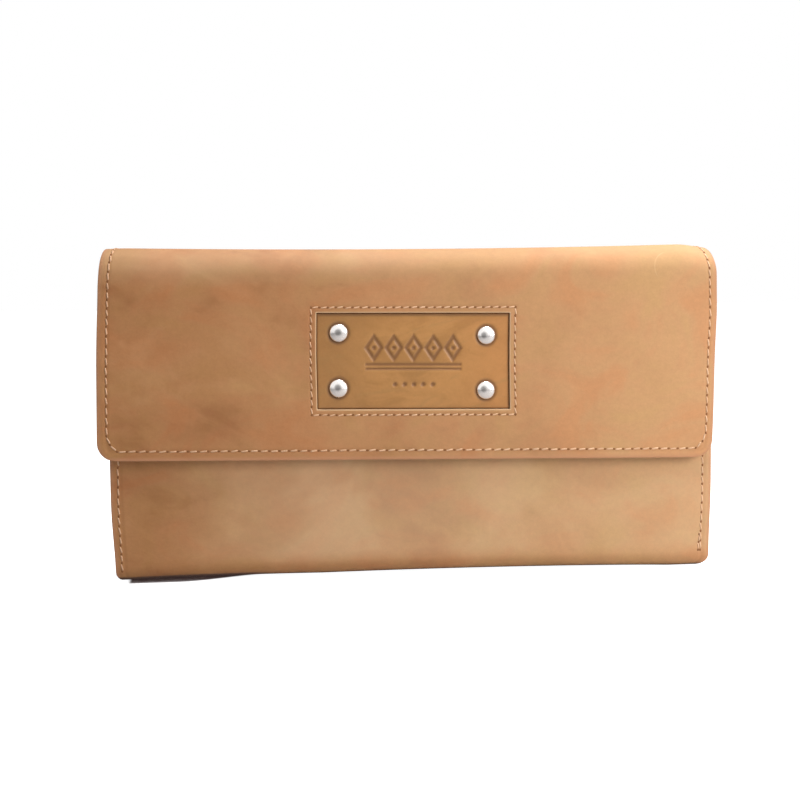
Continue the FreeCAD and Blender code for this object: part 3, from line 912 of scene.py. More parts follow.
def seam_steps(path, pitch):
    """Even steps along a line on the flat hide: the middle and direction of each stitch."""
    path = np.array(path, float)
    legs = np.hypot(*np.diff(path, axis=0).T)
    reach = np.concatenate([[0], np.cumsum(legs)])
    count = max(1, int(round(reach[-1] / pitch)))
    pitch = reach[-1] / count
    steps = []
    for i in range(count):
        first, last = (np.array([np.interp(pitch * (i + end), reach, path[:, k]) for k in (0, 1)])
                       for end in (0, 1))
        steps.append(((first + last) / 2, last - first))
    return steps


# %% Laying a stitch on the hide, and sewing a seam
def on_hide(place, way, lift, slant=0.0):
    """A frame on the hide's outer face for a stitch at a place on the flat hide."""
    (y, z), (ny, nz) = wrap(place[1], lift)
    out = np.array([0, ny, nz])
    up = np.array([0.0, nz, -ny])
    forward = way[0] * np.array([1.0, 0, 0]) + way[1] * up
    forward = forward / np.linalg.norm(forward)
    side = np.cross(out, forward)
    turned = forward * math.cos(slant) + side * math.sin(slant)
    return np.array([place[0], y, z]), [turned, np.cross(out, turned), out]


STITCH, FILL, SUNK = 3.0 * MM, 0.76, -0.02 * MM     # step, share of it that shows, holes' depth


def sew(name, path, wear, pitch=STITCH, slant=0.16, thick=THREAD):
    """Thread and holes along a seam; the same wear as the panel's keeps them on it."""
    steps = seam_steps(path, pitch)
    real = np.linalg.norm(steps[0][1])
    threads, holes = [], []
    for place, way in steps:
        off = np.array(stray(0.08 * MM))
        threads.append(on_hide(place + off, way, 0.0, slant + random.uniform(-0.06, 0.06)))
        holes.append(on_hide(place - way / 2, way, SUNK, slant))
    holes.append(on_hide(steps[-1][0] + steps[-1][1] / 2, steps[-1][1], SUNK, slant))
    thread = repeat("thread_" + name, strand(real * FILL, thick), threads)
    needle = repeat("holes_" + name, hole, holes)
    for piece in (thread, needle):
        move_points(piece, wear)
        smooth(piece, 80)
    print("%-22s %4d stitches, %.2f mm apart" % (thread.name, len(steps), real / MM))
    return thread, needle


# %% The seams on the flap and round the window
SEAM_IN, RIGHT_SEAM_IN, FRAME_OFF = 2.9 * MM, 2.3 * MM, 1.7 * MM


def flap_seam_path(left_in, low_in, right_in, last):
    """Down the left side, along the lower edge and up the right, these far from the edge."""
    knee = 3.2 * MM
    levels = np.linspace(low_in + knee, last, 60)
    width = half_width(np.maximum(levels, corner_r))
    left = [(-w + left_in, s) for s, w in zip(levels[::-1], width[::-1])]
    right = [(w - right_in, s) for s, w in zip(levels, width)]
    return left + [(left[-1][0] + knee, low_in), (right[0][0] - knee, low_in)] + right


flap_seam = sew("flap", flap_seam_path(SEAM_IN, SEAM_IN, RIGHT_SEAM_IN, seam_start), wear_flap)
frame_x, frame_up = window_half + FRAME_OFF, window_tall + FRAME_OFF
window_s = window_z - flap_edge_z
corners = [(x * frame_x, window_s + up * frame_up)
           for x, up in ((-1, -1), (1, -1), (1, 1), (-1, 1), (-1, -1))]
window_seams = [sew("window_%d" % i, corners[i:i + 2], wear_flap, pitch=2.5 * MM, slant=0.22, thick=0.42 * MM)
                for i in range(4)]

# %% [markdown]
# The left seam of the front closes in on the edge towards the base and runs right down to
# the fold. The right one stops short of it and is sewn back over itself with two stitches.

# %% The seams up the back and the front
side_x = panel_half - SEAM_IN
low_left, low_right, seam_top = stops[8] - 1.5 * MM, stops[8] + 0.4 * MM, HIDE_LENGTH - 3 * MM
back_seams = [sew("back_" + name, [(sign * side_x, seam_start), (sign * side_x, stops[5])], wear_back)
              for name, sign in (("left", -1), ("right", 1))]
back_tack = [(side_x - 0.7 * MM, low_right), (side_x - 0.4 * MM, low_right + 5 * MM)]
front_seams = [sew("front_left", [(-side_x - 0.9 * MM, low_left), (-side_x, seam_top)], wear_front),
               sew("front_right", [(side_x, low_right), (side_x, seam_top)], wear_front),
               sew("front_right_back_tack", back_tack, wear_front)]
seams = [flap_seam, *window_seams, *back_seams, *front_seams]


def pieces_of(sewn):
    return [piece for thread_and_holes in sewn for piece in thread_and_holes]


print("%d seams" % len(seams))

# %% [markdown]
# ## Pockets
#
# The card slots and the slip pocket are thin calf, cut straight and turned over at the top.
# They start as upright grids too, but stay nearly flat, as sewn-down pockets do.

# %% Card slots and the slip pocket
def finish_soft(piece, node, degrees=40):
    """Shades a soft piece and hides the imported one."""
    smooth(piece, degrees)
    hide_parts(node)
    tell(piece)
    return piece


def pocket(name, node, wear_rule, fine=4 * MM):
    """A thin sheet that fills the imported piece's box, with its edges rounded over."""
    low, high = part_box(node)
    wide, tall = high.x - low.x, high.z - low.z
    piece = upright_grid(name, wide / 2, low.z, high.z, low.y, int(wide / fine), int(tall / fine))
    thicken(piece, high.y - low.y)
    round_rims(piece, 0.18 * MM)
    if wear_rule:
        move_points(piece, wear_rule)
    return finish_soft(piece, node)


def wear_cards(points):
    """Years of cards have pushed the slots' mouths a little forward beside their seams."""
    p = np.array(points, float)
    bay = np.abs(np.sin(p[:, 0] / panel_half * math.pi))
    p[:, 1] -= 0.35 * MM * bay * smoothstep(p[:, 2], 40 * MM, 90 * MM)
    return p


cards = [pocket("cards_%d" % i, "card_slot_%d" % i, wear_cards) for i in range(1, 5)]
slip = pocket("slip_pocket_soft", "front_slip_pocket", None)

# %% The stitches up the middle of the card slots
upright = [(0, 0, 1), (1, 0, 0), (0, -1, 0)]
card_frames = []
for i in range(1, 5):
    low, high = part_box("card_slot_%d" % i)
    next_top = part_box("card_slot_%d" % (i + 1))[1].z if i < 4 else low.z
    for place, way in seam_steps([(0, next_top + 0.5 * MM), (0, high.z - 1 * MM)], STITCH):
        card_frames.append(((0, low.y + SUNK, place[1]), upright))
thread_cards = repeat("thread_cards", strand(2.5 * MM, THREAD), card_frames)
smooth(thread_cards, 80)
tell(thread_cards)

# %% [markdown]
# ## Gussets
#
# A gusset is one strip folded into an accordion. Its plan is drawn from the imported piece's
# box: sewn flange, inner fold, outer fold beside the pouch, inner fold, sewn flange. The
# strip is drawn as a standing sheet whose free edge is extruded round the plan, and its
# folds are then softened with a bevel.

# %% The accordion gussets
GUSSET_T, FLANGE, REACH, RIDGE_IN = 0.7 * MM, 4 * MM, 13 * MM, 1.2 * MM


def thicken_both_ways(piece, thickness):
    layer = piece.modifiers.new("thickness", "SOLIDIFY")
    layer.thickness = thickness
    layer.offset = 0
    settle(piece, layer)


def gusset(name, node, side):
    low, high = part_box(node)
    edge, sewn, valley, ridge = (side * (panel_half - inset) for inset in (0, FLANGE, REACH, RIDGE_IN))
    rear, fore = high.y - GUSSET_T / 2, low.y + GUSSET_T / 2
    pouch_low, pouch_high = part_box("pouch_shell")
    ridge_rear, ridge_fore = pouch_high.y + 0.65 * MM, pouch_low.y - 0.65 * MM
    plan = [(edge, rear), (sewn, rear), (valley, (rear + ridge_rear) / 2), (ridge, ridge_rear),
            (ridge, ridge_fore), (valley, (ridge_fore + fore) / 2), (sewn, fore), (edge, fore)]
    piece = upright_grid(name, FLANGE / 2, shell_t + 0.3 * MM, high.z, rear, 1, 30)
    move_points(piece, lambda p: np.column_stack([np.where(p[:, 0] > 0, edge, sewn), p[:, 1:]]))

    def stands_at(place, x, y):
        return math.hypot(place.x - x, place.y - y) < TINY

    for (x0, y0), (x1, y1) in zip(plan[1:], plan[2:]):
        run_edge(piece, lambda v: stands_at(v.co, x0, y0), (x1 - x0, y1 - y0, 0), 3)
    outward(piece)
    edit(piece)
    choose(piece, lambda e: abs(e.verts[0].co.z - e.verts[1].co.z) > TINY and any(
        stands_at(middle(e), x, y) for x, y in plan[1:-1]), "EDGE")
    bpy.ops.mesh.bevel(offset=0.9 * MM, segments=3, affect="EDGES")
    leave_edit()
    thicken_both_ways(piece, GUSSET_T)
    move_points(piece, drawn_in)
    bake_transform(piece)
    return finish_soft(piece, node, 50)


gussets = [gusset("gusset_soft_left", "gusset_left", -1), gusset("gusset_soft_right", "gusset_right", 1)]

# %% [markdown]
# ## The zipped pouch
#
# The pouch is a U of thin leather with a cloth lining, closed at both ends. A zipper's two
# tapes are sewn inside its upper edge. The pouch is drawn as a standing wall, swept half
# round at its foot and run up again on the other side.

# %% The pouch's wall and lining
SLACK = 0.5 * MM


def trough(name, node, thickness, edge, fine=3 * MM):
    """A sheet bent to a U, a little slack in the middle of its two walls."""
    low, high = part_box(node)
    r = (high.y - low.y) / 2
    centre_y = (high.y + low.y) / 2
    half, rows = (high.x - low.x) / 2, int((high.z - low.z - r) / fine)
    piece = upright_grid(name, half, low.z + r, high.z, low.y, int(2 * half / fine), rows)
    sweep_edge(piece, lambda v: v.co.z < low.z + r + TINY, (0, centre_y, low.z + r), -180, 10)
    run_edge(piece, lambda v: v.co.z < low.z + r + TINY and v.co.y > high.y - TINY,
             (0, 0, high.z - low.z - r), rows)
    outward(piece)
    thicken(piece, thickness)
    round_rims(piece, edge)

    def slacken(p):
        rise = np.clip((p[:, 2] - low.z) / (high.z - low.z), 0, 1)
        swell = SLACK * (1 - (p[:, 0] / half) ** 2) * np.sin(rise * math.pi)
        off = p[:, 1] - centre_y
        p[:, 1] += np.sign(off) * swell * smoothstep(np.abs(off), 0, r / 2)
        return p

    move_points(piece, slacken)
    return finish_soft(piece, node)


pouch = trough("pouch_soft", "pouch_shell", 0.7 * MM, 0.2 * MM)
pouch_cloth = trough("pouch_cloth", "pouch_lining", 0.3 * MM, 0.08 * MM, 5 * MM)


# %% The pouch's two closed ends
END_T, END_FOOT = 0.7 * MM, 5 * MM


def block(size, place=(0, 0, 0)):
    deselect_all()
    bpy.ops.mesh.primitive_cube_add(size=1, location=place)
    piece = bpy.context.object
    piece.scale = size
    return still(piece)


def pouch_end(side):
    """A thin plate across the pouch's end, round at its foot."""
    low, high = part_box("pouch_ends")
    piece = block((END_T, high.y - low.y - 0.1 * MM, high.z - low.z - 2 * MM),
                  (side * (high.x - END_T / 2), (low.y + high.y) / 2, (low.z + high.z) / 2 + 1 * MM))
    edit(piece)
    choose(piece, lambda e: abs(e.verts[0].co.x - e.verts[1].co.x) > TINY
           and middle(e).z < low.z + END_FOOT, "EDGE")
    bpy.ops.mesh.bevel(offset=2.8 * MM, segments=6, affect="EDGES")
    for level in np.linspace(low.z + END_FOOT, high.z - 2 * MM, 12):
        bpy.ops.mesh.select_all(action="SELECT")
        bpy.ops.mesh.bisect(plane_co=(0, 0, level), plane_no=(0, 0, 1))
    leave_edit()
    return piece


pouch_ends = finish_soft(join("pouch_ends_soft", [pouch_end(-1), pouch_end(1)]), "pouch_ends")

# %% [markdown]
# ## The zipper
#
# A metal zipper is a row of stamped teeth clamped on the beaded edge of each woven tape.
# One tooth is made from a block: tapered towards its nose, with its edges broken, and it is
# repeated down both rows, half a pitch apart.

# %% The tapes and the teeth
TAPE_T, TAPE_IN = 0.36 * MM, 0.2 * MM


def tape(name, node, side):
    """A woven strip that stands on the pouch's wall and turns in towards the teeth."""
    low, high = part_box(node)
    near, far = (low.y, high.y) if side > 0 else (high.y, low.y)
    top = high.z - TAPE_IN
    piece = upright_grid(name, high.x, low.z, top, far - side * TAPE_IN, 60, 5)
    run_edge(piece, lambda v: v.co.z > top - TINY, (0, near - far + side * TAPE_IN, 0), 3)
    thicken_both_ways(piece, TAPE_T)
    outward(piece)
    return finish_soft(piece, node, 50)


tapes = [tape("tape_soft_front", "zipper_tape_front", -1), tape("tape_soft_back", "zipper_tape_back", 1)]


TOOTH, TOOTH_BACK, TOOTH_PITCH = (1.15 * MM, 2.0 * MM, 1.5 * MM), 0.5 * MM, 2.6 * MM


def tooth():
    """One tooth along its clamp, nose towards -Y."""
    piece = block(TOOTH, (0, TOOTH_BACK, 0))
    edit(piece)
    choose(piece, lambda v: v.co.y < 0)
    bpy.ops.transform.resize(value=(0.8, 1, 0.6), center_override=(0, 0, 0))
    bpy.ops.mesh.select_all(action="SELECT")
    bpy.ops.mesh.bevel(offset=0.16 * MM, segments=1, affect="EDGES")
    leave_edit()
    return pattern_of(piece)


one_tooth = tooth()
middle_y = (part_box("zipper_teeth_front")[1].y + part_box("zipper_teeth_back")[0].y) / 2


def tooth_row(name, side):
    """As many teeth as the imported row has, from its first to its last."""
    low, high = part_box("zipper_teeth_" + name)
    run = high.x - low.x - TOOTH[0]
    count = round(run / TOOTH_PITCH) + 1
    axes = [(1, 0, 0), (0, side, 0), (0, 0, 1)]
    frames = [((low.x + TOOTH[0] / 2 + i * run / (count - 1), middle_y, (low.z + high.z) / 2), axes)
              for i in range(count)]
    row = repeat("teeth_" + name, one_tooth, frames)
    outward(row)
    return finish_soft(row, "zipper_teeth_" + name, 30)


teeth = [tooth_row("front", -1), tooth_row("back", 1)]

# %% [markdown]
# ## Which body carries what
#
# The leather that crosses a fold has its place put into its mesh and is carried by no body. Everything else
# rides on one body.

# %% The leather over the folds, fixed in place, and the pieces that ride
over_front = ((0, front_fold_y, top_z), (0, flap_y, fold_z))
over_back = ((0, back_y, fold_z), (0, back_fold_y, top_z))
under_front = ((0, front_base_y, 0), (0, front_y, base_r))
for body, next_body, fold, pieces in (
        ("spine", "flap", over_front, (hide_flap, lining_flap, *flap_seam)),
        ("back", "spine", over_back, (hide_back, lining_back, *pieces_of(back_seams))),
        ("back", "front", under_front, (hide_front, lining_front))):
    for piece in pieces:
        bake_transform(piece)
for body, pieces in (("flap", (label, rivets, *pieces_of(window_seams))),
                     ("front", (slip, *pieces_of(front_seams))),
                     ("back", (*cards, thread_cards)),
                     ("pouch", (pouch, pouch_cloth, pouch_ends, *tapes, *teeth))):
    for piece in pieces:
        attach(piece, body)
    print("%s carries %d pieces" % (body, len(pieces)))

# %% The imported pieces that the leather, the linings and the label take the place of are hidden
for piece, names in ((hide_flap, ("flap_leather",)),
                     (hide_back, ("back_leather", "spine_leather")),
                     (hide_front, ("front_leather",)),
                     (lining_flap, ("flap_lining", "flap_interlining")),
                     (lining_back, ("back_lining", "back_interlining", "spine_lining", "spine_interlining")),
                     (lining_front, ("front_lining", "front_interlining")),
                     (label, ("label_plaque",)),
                     (rivets, ("label_rivet_caps",))):
    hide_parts(*names)
    print("%s stands for %s" % (piece.name, " and ".join(names)))
# %% [markdown]
# ## Leather
#
# The hide is a matt, waxed pull-up leather. Three sizes of pattern make it: cloudy patches a few centimetres
# wide, softer streaks along the skin's lie, and a fine nap. The colour follows the flat hide, so it runs over
# the folds. Light and shade are painted into the colour as well: the hide turns paler towards the right,
# which faces the lamps; a pale painted light lies on the front below the flap, with a painted highlight on
# the top fold towards the left; painted shade darkens the seams' grooves and a thin band along the front's
# base. One faint curved scratch lies on the front fold, near its right end.

# %% Short names for the nodes that the materials use most
def times(tree, a, b):
    return math_node(tree, "MULTIPLY", a, b)


def plus(tree, *values):
    total = values[0]
    for value in values[1:]:
        total = math_node(tree, "ADD", total, value)
    return total


def minus(tree, a, b):
    return math_node(tree, "SUBTRACT", a, b)


def apart(tree, a, b):
    """How far two values lie from each other."""
    return math_node(tree, "ABSOLUTE", minus(tree, a, b))


def noise(tree, where, scale, detail=2.0, rough=0.5, twist=0.0):
    return add(tree, "ShaderNodeTexNoise", in_Vector=where, in_Scale=scale, in_Detail=detail,
               in_Roughness=rough, in_Distortion=twist).outputs[0]


def spread(tree, value, low, high, new_low=0.0, new_high=1.0):
    """Maps a value from one range to another, smoothly and within its ends."""
    return add(tree, "ShaderNodeMapRange", interpolation_type="SMOOTHSTEP", in_0=value,
               in_1=low, in_2=high, in_3=new_low, in_4=new_high).outputs[0]


def lie(tree, where, turn, stretch):
    """Turns a pattern in the sheet's plane, flat or upright, and then stretches it."""
    angle = math.radians(turn)
    turned = add(tree, "ShaderNodeMapping", in_Vector=where, in_Rotation=(0, angle, angle)).outputs[0]
    return add(tree, "ShaderNodeMapping", in_Vector=turned, in_Scale=stretch).outputs[0]


def paint(tree, colour, mask, amount, over):
    """Lays another colour over the first, as strongly as the mask and the amount say."""
    return blend_colour(tree, times(tree, mask, amount), colour, over)


def grey(tree, value):
    return add(tree, "ShaderNodeCombineColor", in_0=value, in_1=value, in_2=value).outputs[0]


def shaded(tree, colour, value):
    """Multiplies a colour by a grey value."""
    return blend_colour(tree, 1.0, colour, grey(tree, value), "MULTIPLY")


def own_place(tree):
    return add(tree, "ShaderNodeTexCoord").outputs["Object"]


def split(tree, where):
    return add(tree, "ShaderNodeSeparateXYZ", in_0=where).outputs


def bumped(tree, height, strength, distance=MM):
    return add(tree, "ShaderNodeBump", in_Strength=strength, in_Distance=distance,
               in_Height=height).outputs[0]


def attribute(tree, name, output="Fac"):
    return add(tree, "ShaderNodeAttribute", attribute_name=name).outputs[output]


# %% A node group with named inputs and outputs
def new_group(name, inputs, outputs):
    group = bpy.data.node_groups.new(name, "ShaderNodeTree")
    for socket, kind, value in inputs:
        made = group.interface.new_socket(socket, in_out="INPUT", socket_type="NodeSocket" + kind)
        if value is not None:
            made.default_value = value
    for socket, kind in outputs:
        group.interface.new_socket(socket, in_out="OUTPUT", socket_type="NodeSocket" + kind)
    return group, group.nodes.new("NodeGroupInput").outputs, group.nodes.new("NodeGroupOutput").inputs


# %% What the hide's group takes and gives, and its colours
HIDE_INPUTS = [("Plan", "Vector", None), ("To edge", "Float", 0.05), ("To window", "Float", 0.05),
               ("Middle", "Color", (0.425, 0.192, 0.074, 1)), ("Dark", "Color", (0.340, 0.138, 0.050, 1)),
               ("Pale", "Color", (0.485, 0.238, 0.099, 1)), ("Edge", "Color", (0.52, 0.25, 0.130, 1)),
               ("Lit side", "Color", (0.587, 0.324, 0.151, 1)), ("Raw edge", "Color", (0.61, 0.39, 0.215, 1)),
               ("Painted light", "Color", (0.95, 0.80, 0.52, 1)), ("Base shade", "Float", 0.0)]
HIDE_OUTPUTS = [("Color", "Color"), ("Roughness", "Float"), ("Normal", "Vector")]
REDDER, GREENER = (1.03, 0.91, 0.86, 1), (0.97, 1.03, 0.94, 1)
SCRATCHED, BASE_SHADE = (0.86, 0.62, 0.40, 1), (0.075, 0.040, 0.036, 1)


# %% Masks: the scratch, the seams' grooves and the painted light
def scratch_mask(group, plan, across, along):
    """A short arc: near a circle's line, left of one place and above another."""
    centre, radius = (80.1 * MM, stops[1] + 1.2 * MM, 0), 5.15 * MM
    reach = add(group, "ShaderNodeVectorMath", operation="DISTANCE", in_0=plan, in_1=centre)
    off_line = apart(group, reach.outputs["Value"], radius)
    line = spread(group, off_line, 0.26 * MM, 0.05 * MM)
    left = spread(group, across, 79.2 * MM, 77.5 * MM)
    above = spread(group, along, stops[1] - 2.6 * MM, stops[1] - 0.4 * MM)
    return times(group, times(group, line, left), above)


def groove_mask(group, across, to_edge, to_window):
    """The shallow grooves that the seams have drawn into the hide."""
    seam_in = spread(group, across, -2 * MM, 2 * MM, 2.9 * MM, 2.45 * MM)
    nearest = math_node(group, "MINIMUM", apart(group, to_edge, seam_in), apart(group, to_window, 1.7 * MM))
    return spread(group, nearest, 1.1 * MM, 0.0)


def painted_light_mask(group, across, along, clouds):
    """Painted light on the front below the flap, which lightens the flap's shadow, and a painted highlight on
    the top fold towards the left.
    """
    below = spread(group, along, stops[8] - 3 * MM, stops[8] + 4 * MM)
    light_across = times(group, spread(group, across, -85 * MM, -25 * MM, 0.01, 0.185),
                 spread(group, across, 60 * MM, -20 * MM, 0.6, 1))
    on_fold = spread(group, apart(group, along, stops[1] + 5 * MM), 10 * MM, 1 * MM)
    fold_left = spread(group, across, 50 * MM, -40 * MM, 0.03, 0.12)
    painted_light = plus(group, times(group, below, light_across), times(group, on_fold, fold_left))
    return times(group, painted_light, spread(group, clouds, 0.38, 0.62, 0.8, 1.2))


# %% The hide's group, from the broad patches to the fine nap
def hide_group():
    group, given, made = new_group("waxed hide", HIDE_INPUTS, HIDE_OUTPUTS)
    plan = given["Plan"]
    across, along, _ = split(group, plan)
    clouds = noise(group, plan, 24, 3, 0.55, 1.2)
    patches = noise(group, lie(group, plan, 20, (1, 1.6, 1)), 62, 3, 0.6, 0.8)
    streaks = noise(group, lie(group, plan, 32, (0.35, 1.5, 1)), 60, 2.5, 0.5, 0.6)
    redness = noise(group, lie(group, plan, -15, (1, 1.3, 1)), 34, 3, 0.55, 1.5)
    speckle = noise(group, plan, 520, 4, 0.75)
    nap = noise(group, plan, 1500, 3, 0.8)

    tone = plus(group, times(group, clouds, 0.5), times(group, patches, 0.3), times(group, streaks, 0.2))
    colour = blend_colour(group, spread(group, tone, 0.36, 0.5), given["Dark"], given["Middle"])
    colour = blend_colour(group, spread(group, tone, 0.5, 0.66), colour, given["Pale"])
    # Painted light: the hide turns paler towards the right, the side that faces the lamps.
    right_light = spread(group, plus(group, across, times(group, clouds, 0.06)), -0.065, 0.135)
    colour = paint(group, colour, right_light, 0.85, given["Lit side"])
    for low, high, strength, tint in ((0.46, 0.70, 0.85, REDDER), (0.56, 0.28, 0.8, GREENER)):
        tinted = blend_colour(group, 1.0, colour, tint, "MULTIPLY")
        colour = blend_colour(group, spread(group, redness, low, high, 0, strength), colour, tinted)
    colour = shaded(group, colour, plus(group, times(group, speckle, 0.24), times(group, nap, 0.16), 0.80))
    # Painted light: a pale colour lightens the front below the flap and paints a highlight on the top fold.
    colour = blend_colour(group, painted_light_mask(group, across, along, clouds), colour, given["Painted light"])
    colour = paint(group, colour, spread(group, given["To edge"], 1.6 * MM, 0.2 * MM), 0.75, given["Edge"])
    raw = spread(group, given["To window"], 0.5 * MM, 0.2 * MM)
    colour = blend_colour(group, raw, colour, given["Raw edge"])
    groove = groove_mask(group, across, given["To edge"], given["To window"])
    # Painted shade in the seams' grooves, on top of their bump.
    colour = paint(group, colour, groove, 0.14, given["Dark"])
    colour = paint(group, colour, scratch_mask(group, plan, across, along), 0.17, SCRATCHED)
    # Painted shade: a dark band along the front's base.
    colour = paint(group, colour, given["Base shade"], 0.9, BASE_SHADE)

    height = plus(group, times(group, speckle, 0.035), times(group, nap, 0.02), times(group, groove, -0.09),
                  times(group, noise(group, plan, 90, 2), 0.35))
    for socket, value in (("Color", colour), ("Roughness", plus(group, times(group, patches, 0.16), 0.62)),
                          ("Normal", bumped(group, height, 0.8))):
        group.links.new(value, made[socket])
    return group


waxed_hide = hide_group()
print("waxed hide: %d nodes" % len(waxed_hide.nodes))


# %% The hide's material
def close_material(material, colour, rough, normal, **constants):
    """The surface and the output; each constant is set directly on its socket."""
    tree = material.node_tree
    surface = add(tree, "ShaderNodeBsdfPrincipled", in_Base_Color=colour, in_Roughness=rough)
    if normal is not None:
        tree.links.new(normal, surface.inputs["Normal"])
    for name, value in constants.items():
        surface.inputs[name.replace("_", " ")].default_value = value
    add(tree, "ShaderNodeOutputMaterial", in_Surface=surface.outputs[0])
    return material


def hide_material():
    material, tree = new_material("waxed hide leather")
    hide = add(tree, "ShaderNodeGroup", node_tree=waxed_hide)
    for socket, name, output in (("Plan", "plan", "Vector"), ("To edge", "to_edge", "Fac"),
                                 ("To window", "to_window", "Fac"), ("Base shade", "base_shade", "Fac")):
        tree.links.new(attribute(tree, name, output), hide.inputs[socket])
    made = hide.outputs
    return close_material(material, made["Color"], made["Roughness"], made["Normal"], Specular_IOR_Level=0.32,
                          Sheen_Weight=0.12, Sheen_Roughness=0.5, Sheen_Tint=(1.0, 0.86, 0.7, 1))


outer_leather = hide_material()

# %% [markdown]
# The other leathers are the same skin with other dressings: the label is glazed and
# tooled, the pockets are thin smooth calf. They follow the object's own coordinates,
# except the label, which carries its tooled pattern as an attribute.

# %% The label's glazed leather
def label_material():
    material, tree = new_material("glazed label leather")
    where = own_place(tree)
    clouds = noise(tree, lie(tree, where, 12, (1, 1, 1.8)), 55, 3, 0.55, 1.0)
    streaks = noise(tree, lie(tree, where, 14, (0.45, 1, 1.8)), 120, 3, 0.6, 1.2)
    grain = noise(tree, where, 1300, 3, 0.7)
    side = split(tree, where)[0]
    colour = (0.385, 0.180, 0.050, 1)
    # The two side entries are painted light and shade: the label is brighter and more orange towards the
    # right, which faces the lamps, and darker and olive towards the left.
    for value, low, high, strength, over in ((clouds, 0.38, 0.62, 1.0, (0.475, 0.226, 0.068, 1)),
                                             (side, 0.004, 0.030, 0.5, (0.52, 0.215, 0.062, 1)),
                                             (side, -0.010, -0.026, 0.6, (0.33, 0.155, 0.047, 1)),
                                             (streaks, 0.52, 0.72, 0.35, (0.34, 0.185, 0.060, 1))):
        colour = blend_colour(tree, spread(tree, value, low, high, 0, strength), colour, over)
    colour = shaded(tree, colour, plus(tree, times(tree, grain, 0.2), 0.9))
    # The tooled marks are the tool's own dark burn. The ring round each rivet is burnished leather in its
    # hollow, darkened further as painted shade. The shade is painted shadow under the window's top edge and
    # along its other sides.
    for name, strength, over in (("tooled", 0.85, (0.215, 0.092, 0.030, 1)),
                                 ("ring", 0.95, (0.11, 0.042, 0.012, 1)),
                                 ("shade", 0.7, (0.12, 0.05, 0.016, 1))):
        colour = paint(tree, colour, attribute(tree, name), strength, over)
    height = plus(tree, times(tree, grain, 0.03), times(tree, streaks, 0.10))
    return close_material(material, colour, 0.46, bumped(tree, height, 0.7), Specular_IOR_Level=0.4,
                          Coat_Weight=0.12, Coat_Roughness=0.3)


label_leather = label_material()


# %% Thin calf for the pockets
def darker(colour, share):
    return (*(c * share for c in colour[:3]), 1)


def calf_material(name, dark, pale, rough):
    material, tree = new_material(name)
    where = own_place(tree)
    pebble = add(tree, "ShaderNodeTexVoronoi", feature="DISTANCE_TO_EDGE", in_Vector=where, in_Scale=1100)
    grain = spread(tree, pebble.outputs[0], 0.0, 0.14)
    clouds = noise(tree, where, 45, 3, 0.55, 0.8)
    colour = blend_colour(tree, spread(tree, clouds, 0.35, 0.65), dark, pale)
    colour = paint(tree, colour, minus(tree, 1.0, grain), 0.18, darker(dark, 0.5))
    height = plus(tree, times(tree, grain, 0.05), times(tree, noise(tree, where, 160), 0.25))
    return close_material(material, colour, rough, bumped(tree, height, 0.6), Specular_IOR_Level=0.38)


# %% Cloth for the linings, the tapes and the stiff board
def cloth_material(name, warp_colour, weft_colour, threads, diagonal=True):
    """A woven cloth: two sets of threads, one over the other, in the object's coordinates."""
    material, tree = new_material(name)
    where = own_place(tree)
    x, y, z = split(tree, where)
    across = times(tree, x, threads * 2 * math.pi)
    up = times(tree, plus(tree, y, z), threads * 2 * math.pi)
    over = spread(tree, math_node(tree, "SINE", plus(tree, across, up) if diagonal else across), -0.6, 0.8)
    wear = noise(tree, where, 60, 3, 0.6)
    colour = blend_colour(tree, over, weft_colour, warp_colour)
    colour = blend_colour(tree, spread(tree, wear, 0.35, 0.7, 0, 0.3), colour, darker(warp_colour, 0.6))
    height = plus(tree, times(tree, over, 0.08), times(tree, math_node(tree, "SINE", up), 0.03))
    return close_material(material, colour, 0.88, bumped(tree, height, 0.7), Specular_IOR_Level=0.2,
                          Sheen_Weight=0.2)


inner_leather = calf_material("thin calf", (0.30, 0.150, 0.070, 1), (0.37, 0.195, 0.098, 1), 0.52)
lining_cloth = cloth_material("lining twill", (0.36, 0.22, 0.13, 1), (0.24, 0.14, 0.08, 1), 1500)
tape_cloth = cloth_material("zipper tape", (0.23, 0.115, 0.058, 1), (0.15, 0.07, 0.035, 1), 1900, False)
board = cloth_material("interlining board", (0.35, 0.30, 0.24, 1), (0.27, 0.23, 0.18, 1), 700)

# %% [markdown]
# ## Metal and thread
#
# The rivets and the snap are nickel, bright but rubbed; the zipper is brass. The thread is a waxed two-ply:
# painted shade runs round each strand where the plies lie together, and the thread is painted darker towards
# the left. A domed cap is a small mirror: whoever looks at it sees themselves as a darker spot in its middle;
# on the rivet caps this spot is a painted reflection in the metal's colour.

# %% Nickel and brass
def metal_material(name, colour, rough, scuff=0.12, mirrored=1.0):
    """Rubbed metal; mirrored is how bright the painted reflection is: a spot painted into the colour where
    the metal faces whoever looks at it.
    """
    material, tree = new_material(name)
    where = own_place(tree)
    rub, haze = noise(tree, where, 700, 3, 0.65), noise(tree, where, 260, 2)
    tone = blend_colour(tree, spread(tree, haze, 0.35, 0.75, 0, 0.22), colour, darker(colour, 0.72))
    facing = add(tree, "ShaderNodeLayerWeight", in_Blend=0.5).outputs["Facing"]
    painted_reflection = spread(tree, plus(tree, facing, times(tree, haze, 0.012)), 0.004, 0.034, mirrored, 1.0)
    return close_material(material, shaded(tree, tone, painted_reflection), plus(tree, times(tree, rub, scuff), rough),
                          bumped(tree, rub, 0.25, 0.05 * MM), Metallic=1.0)


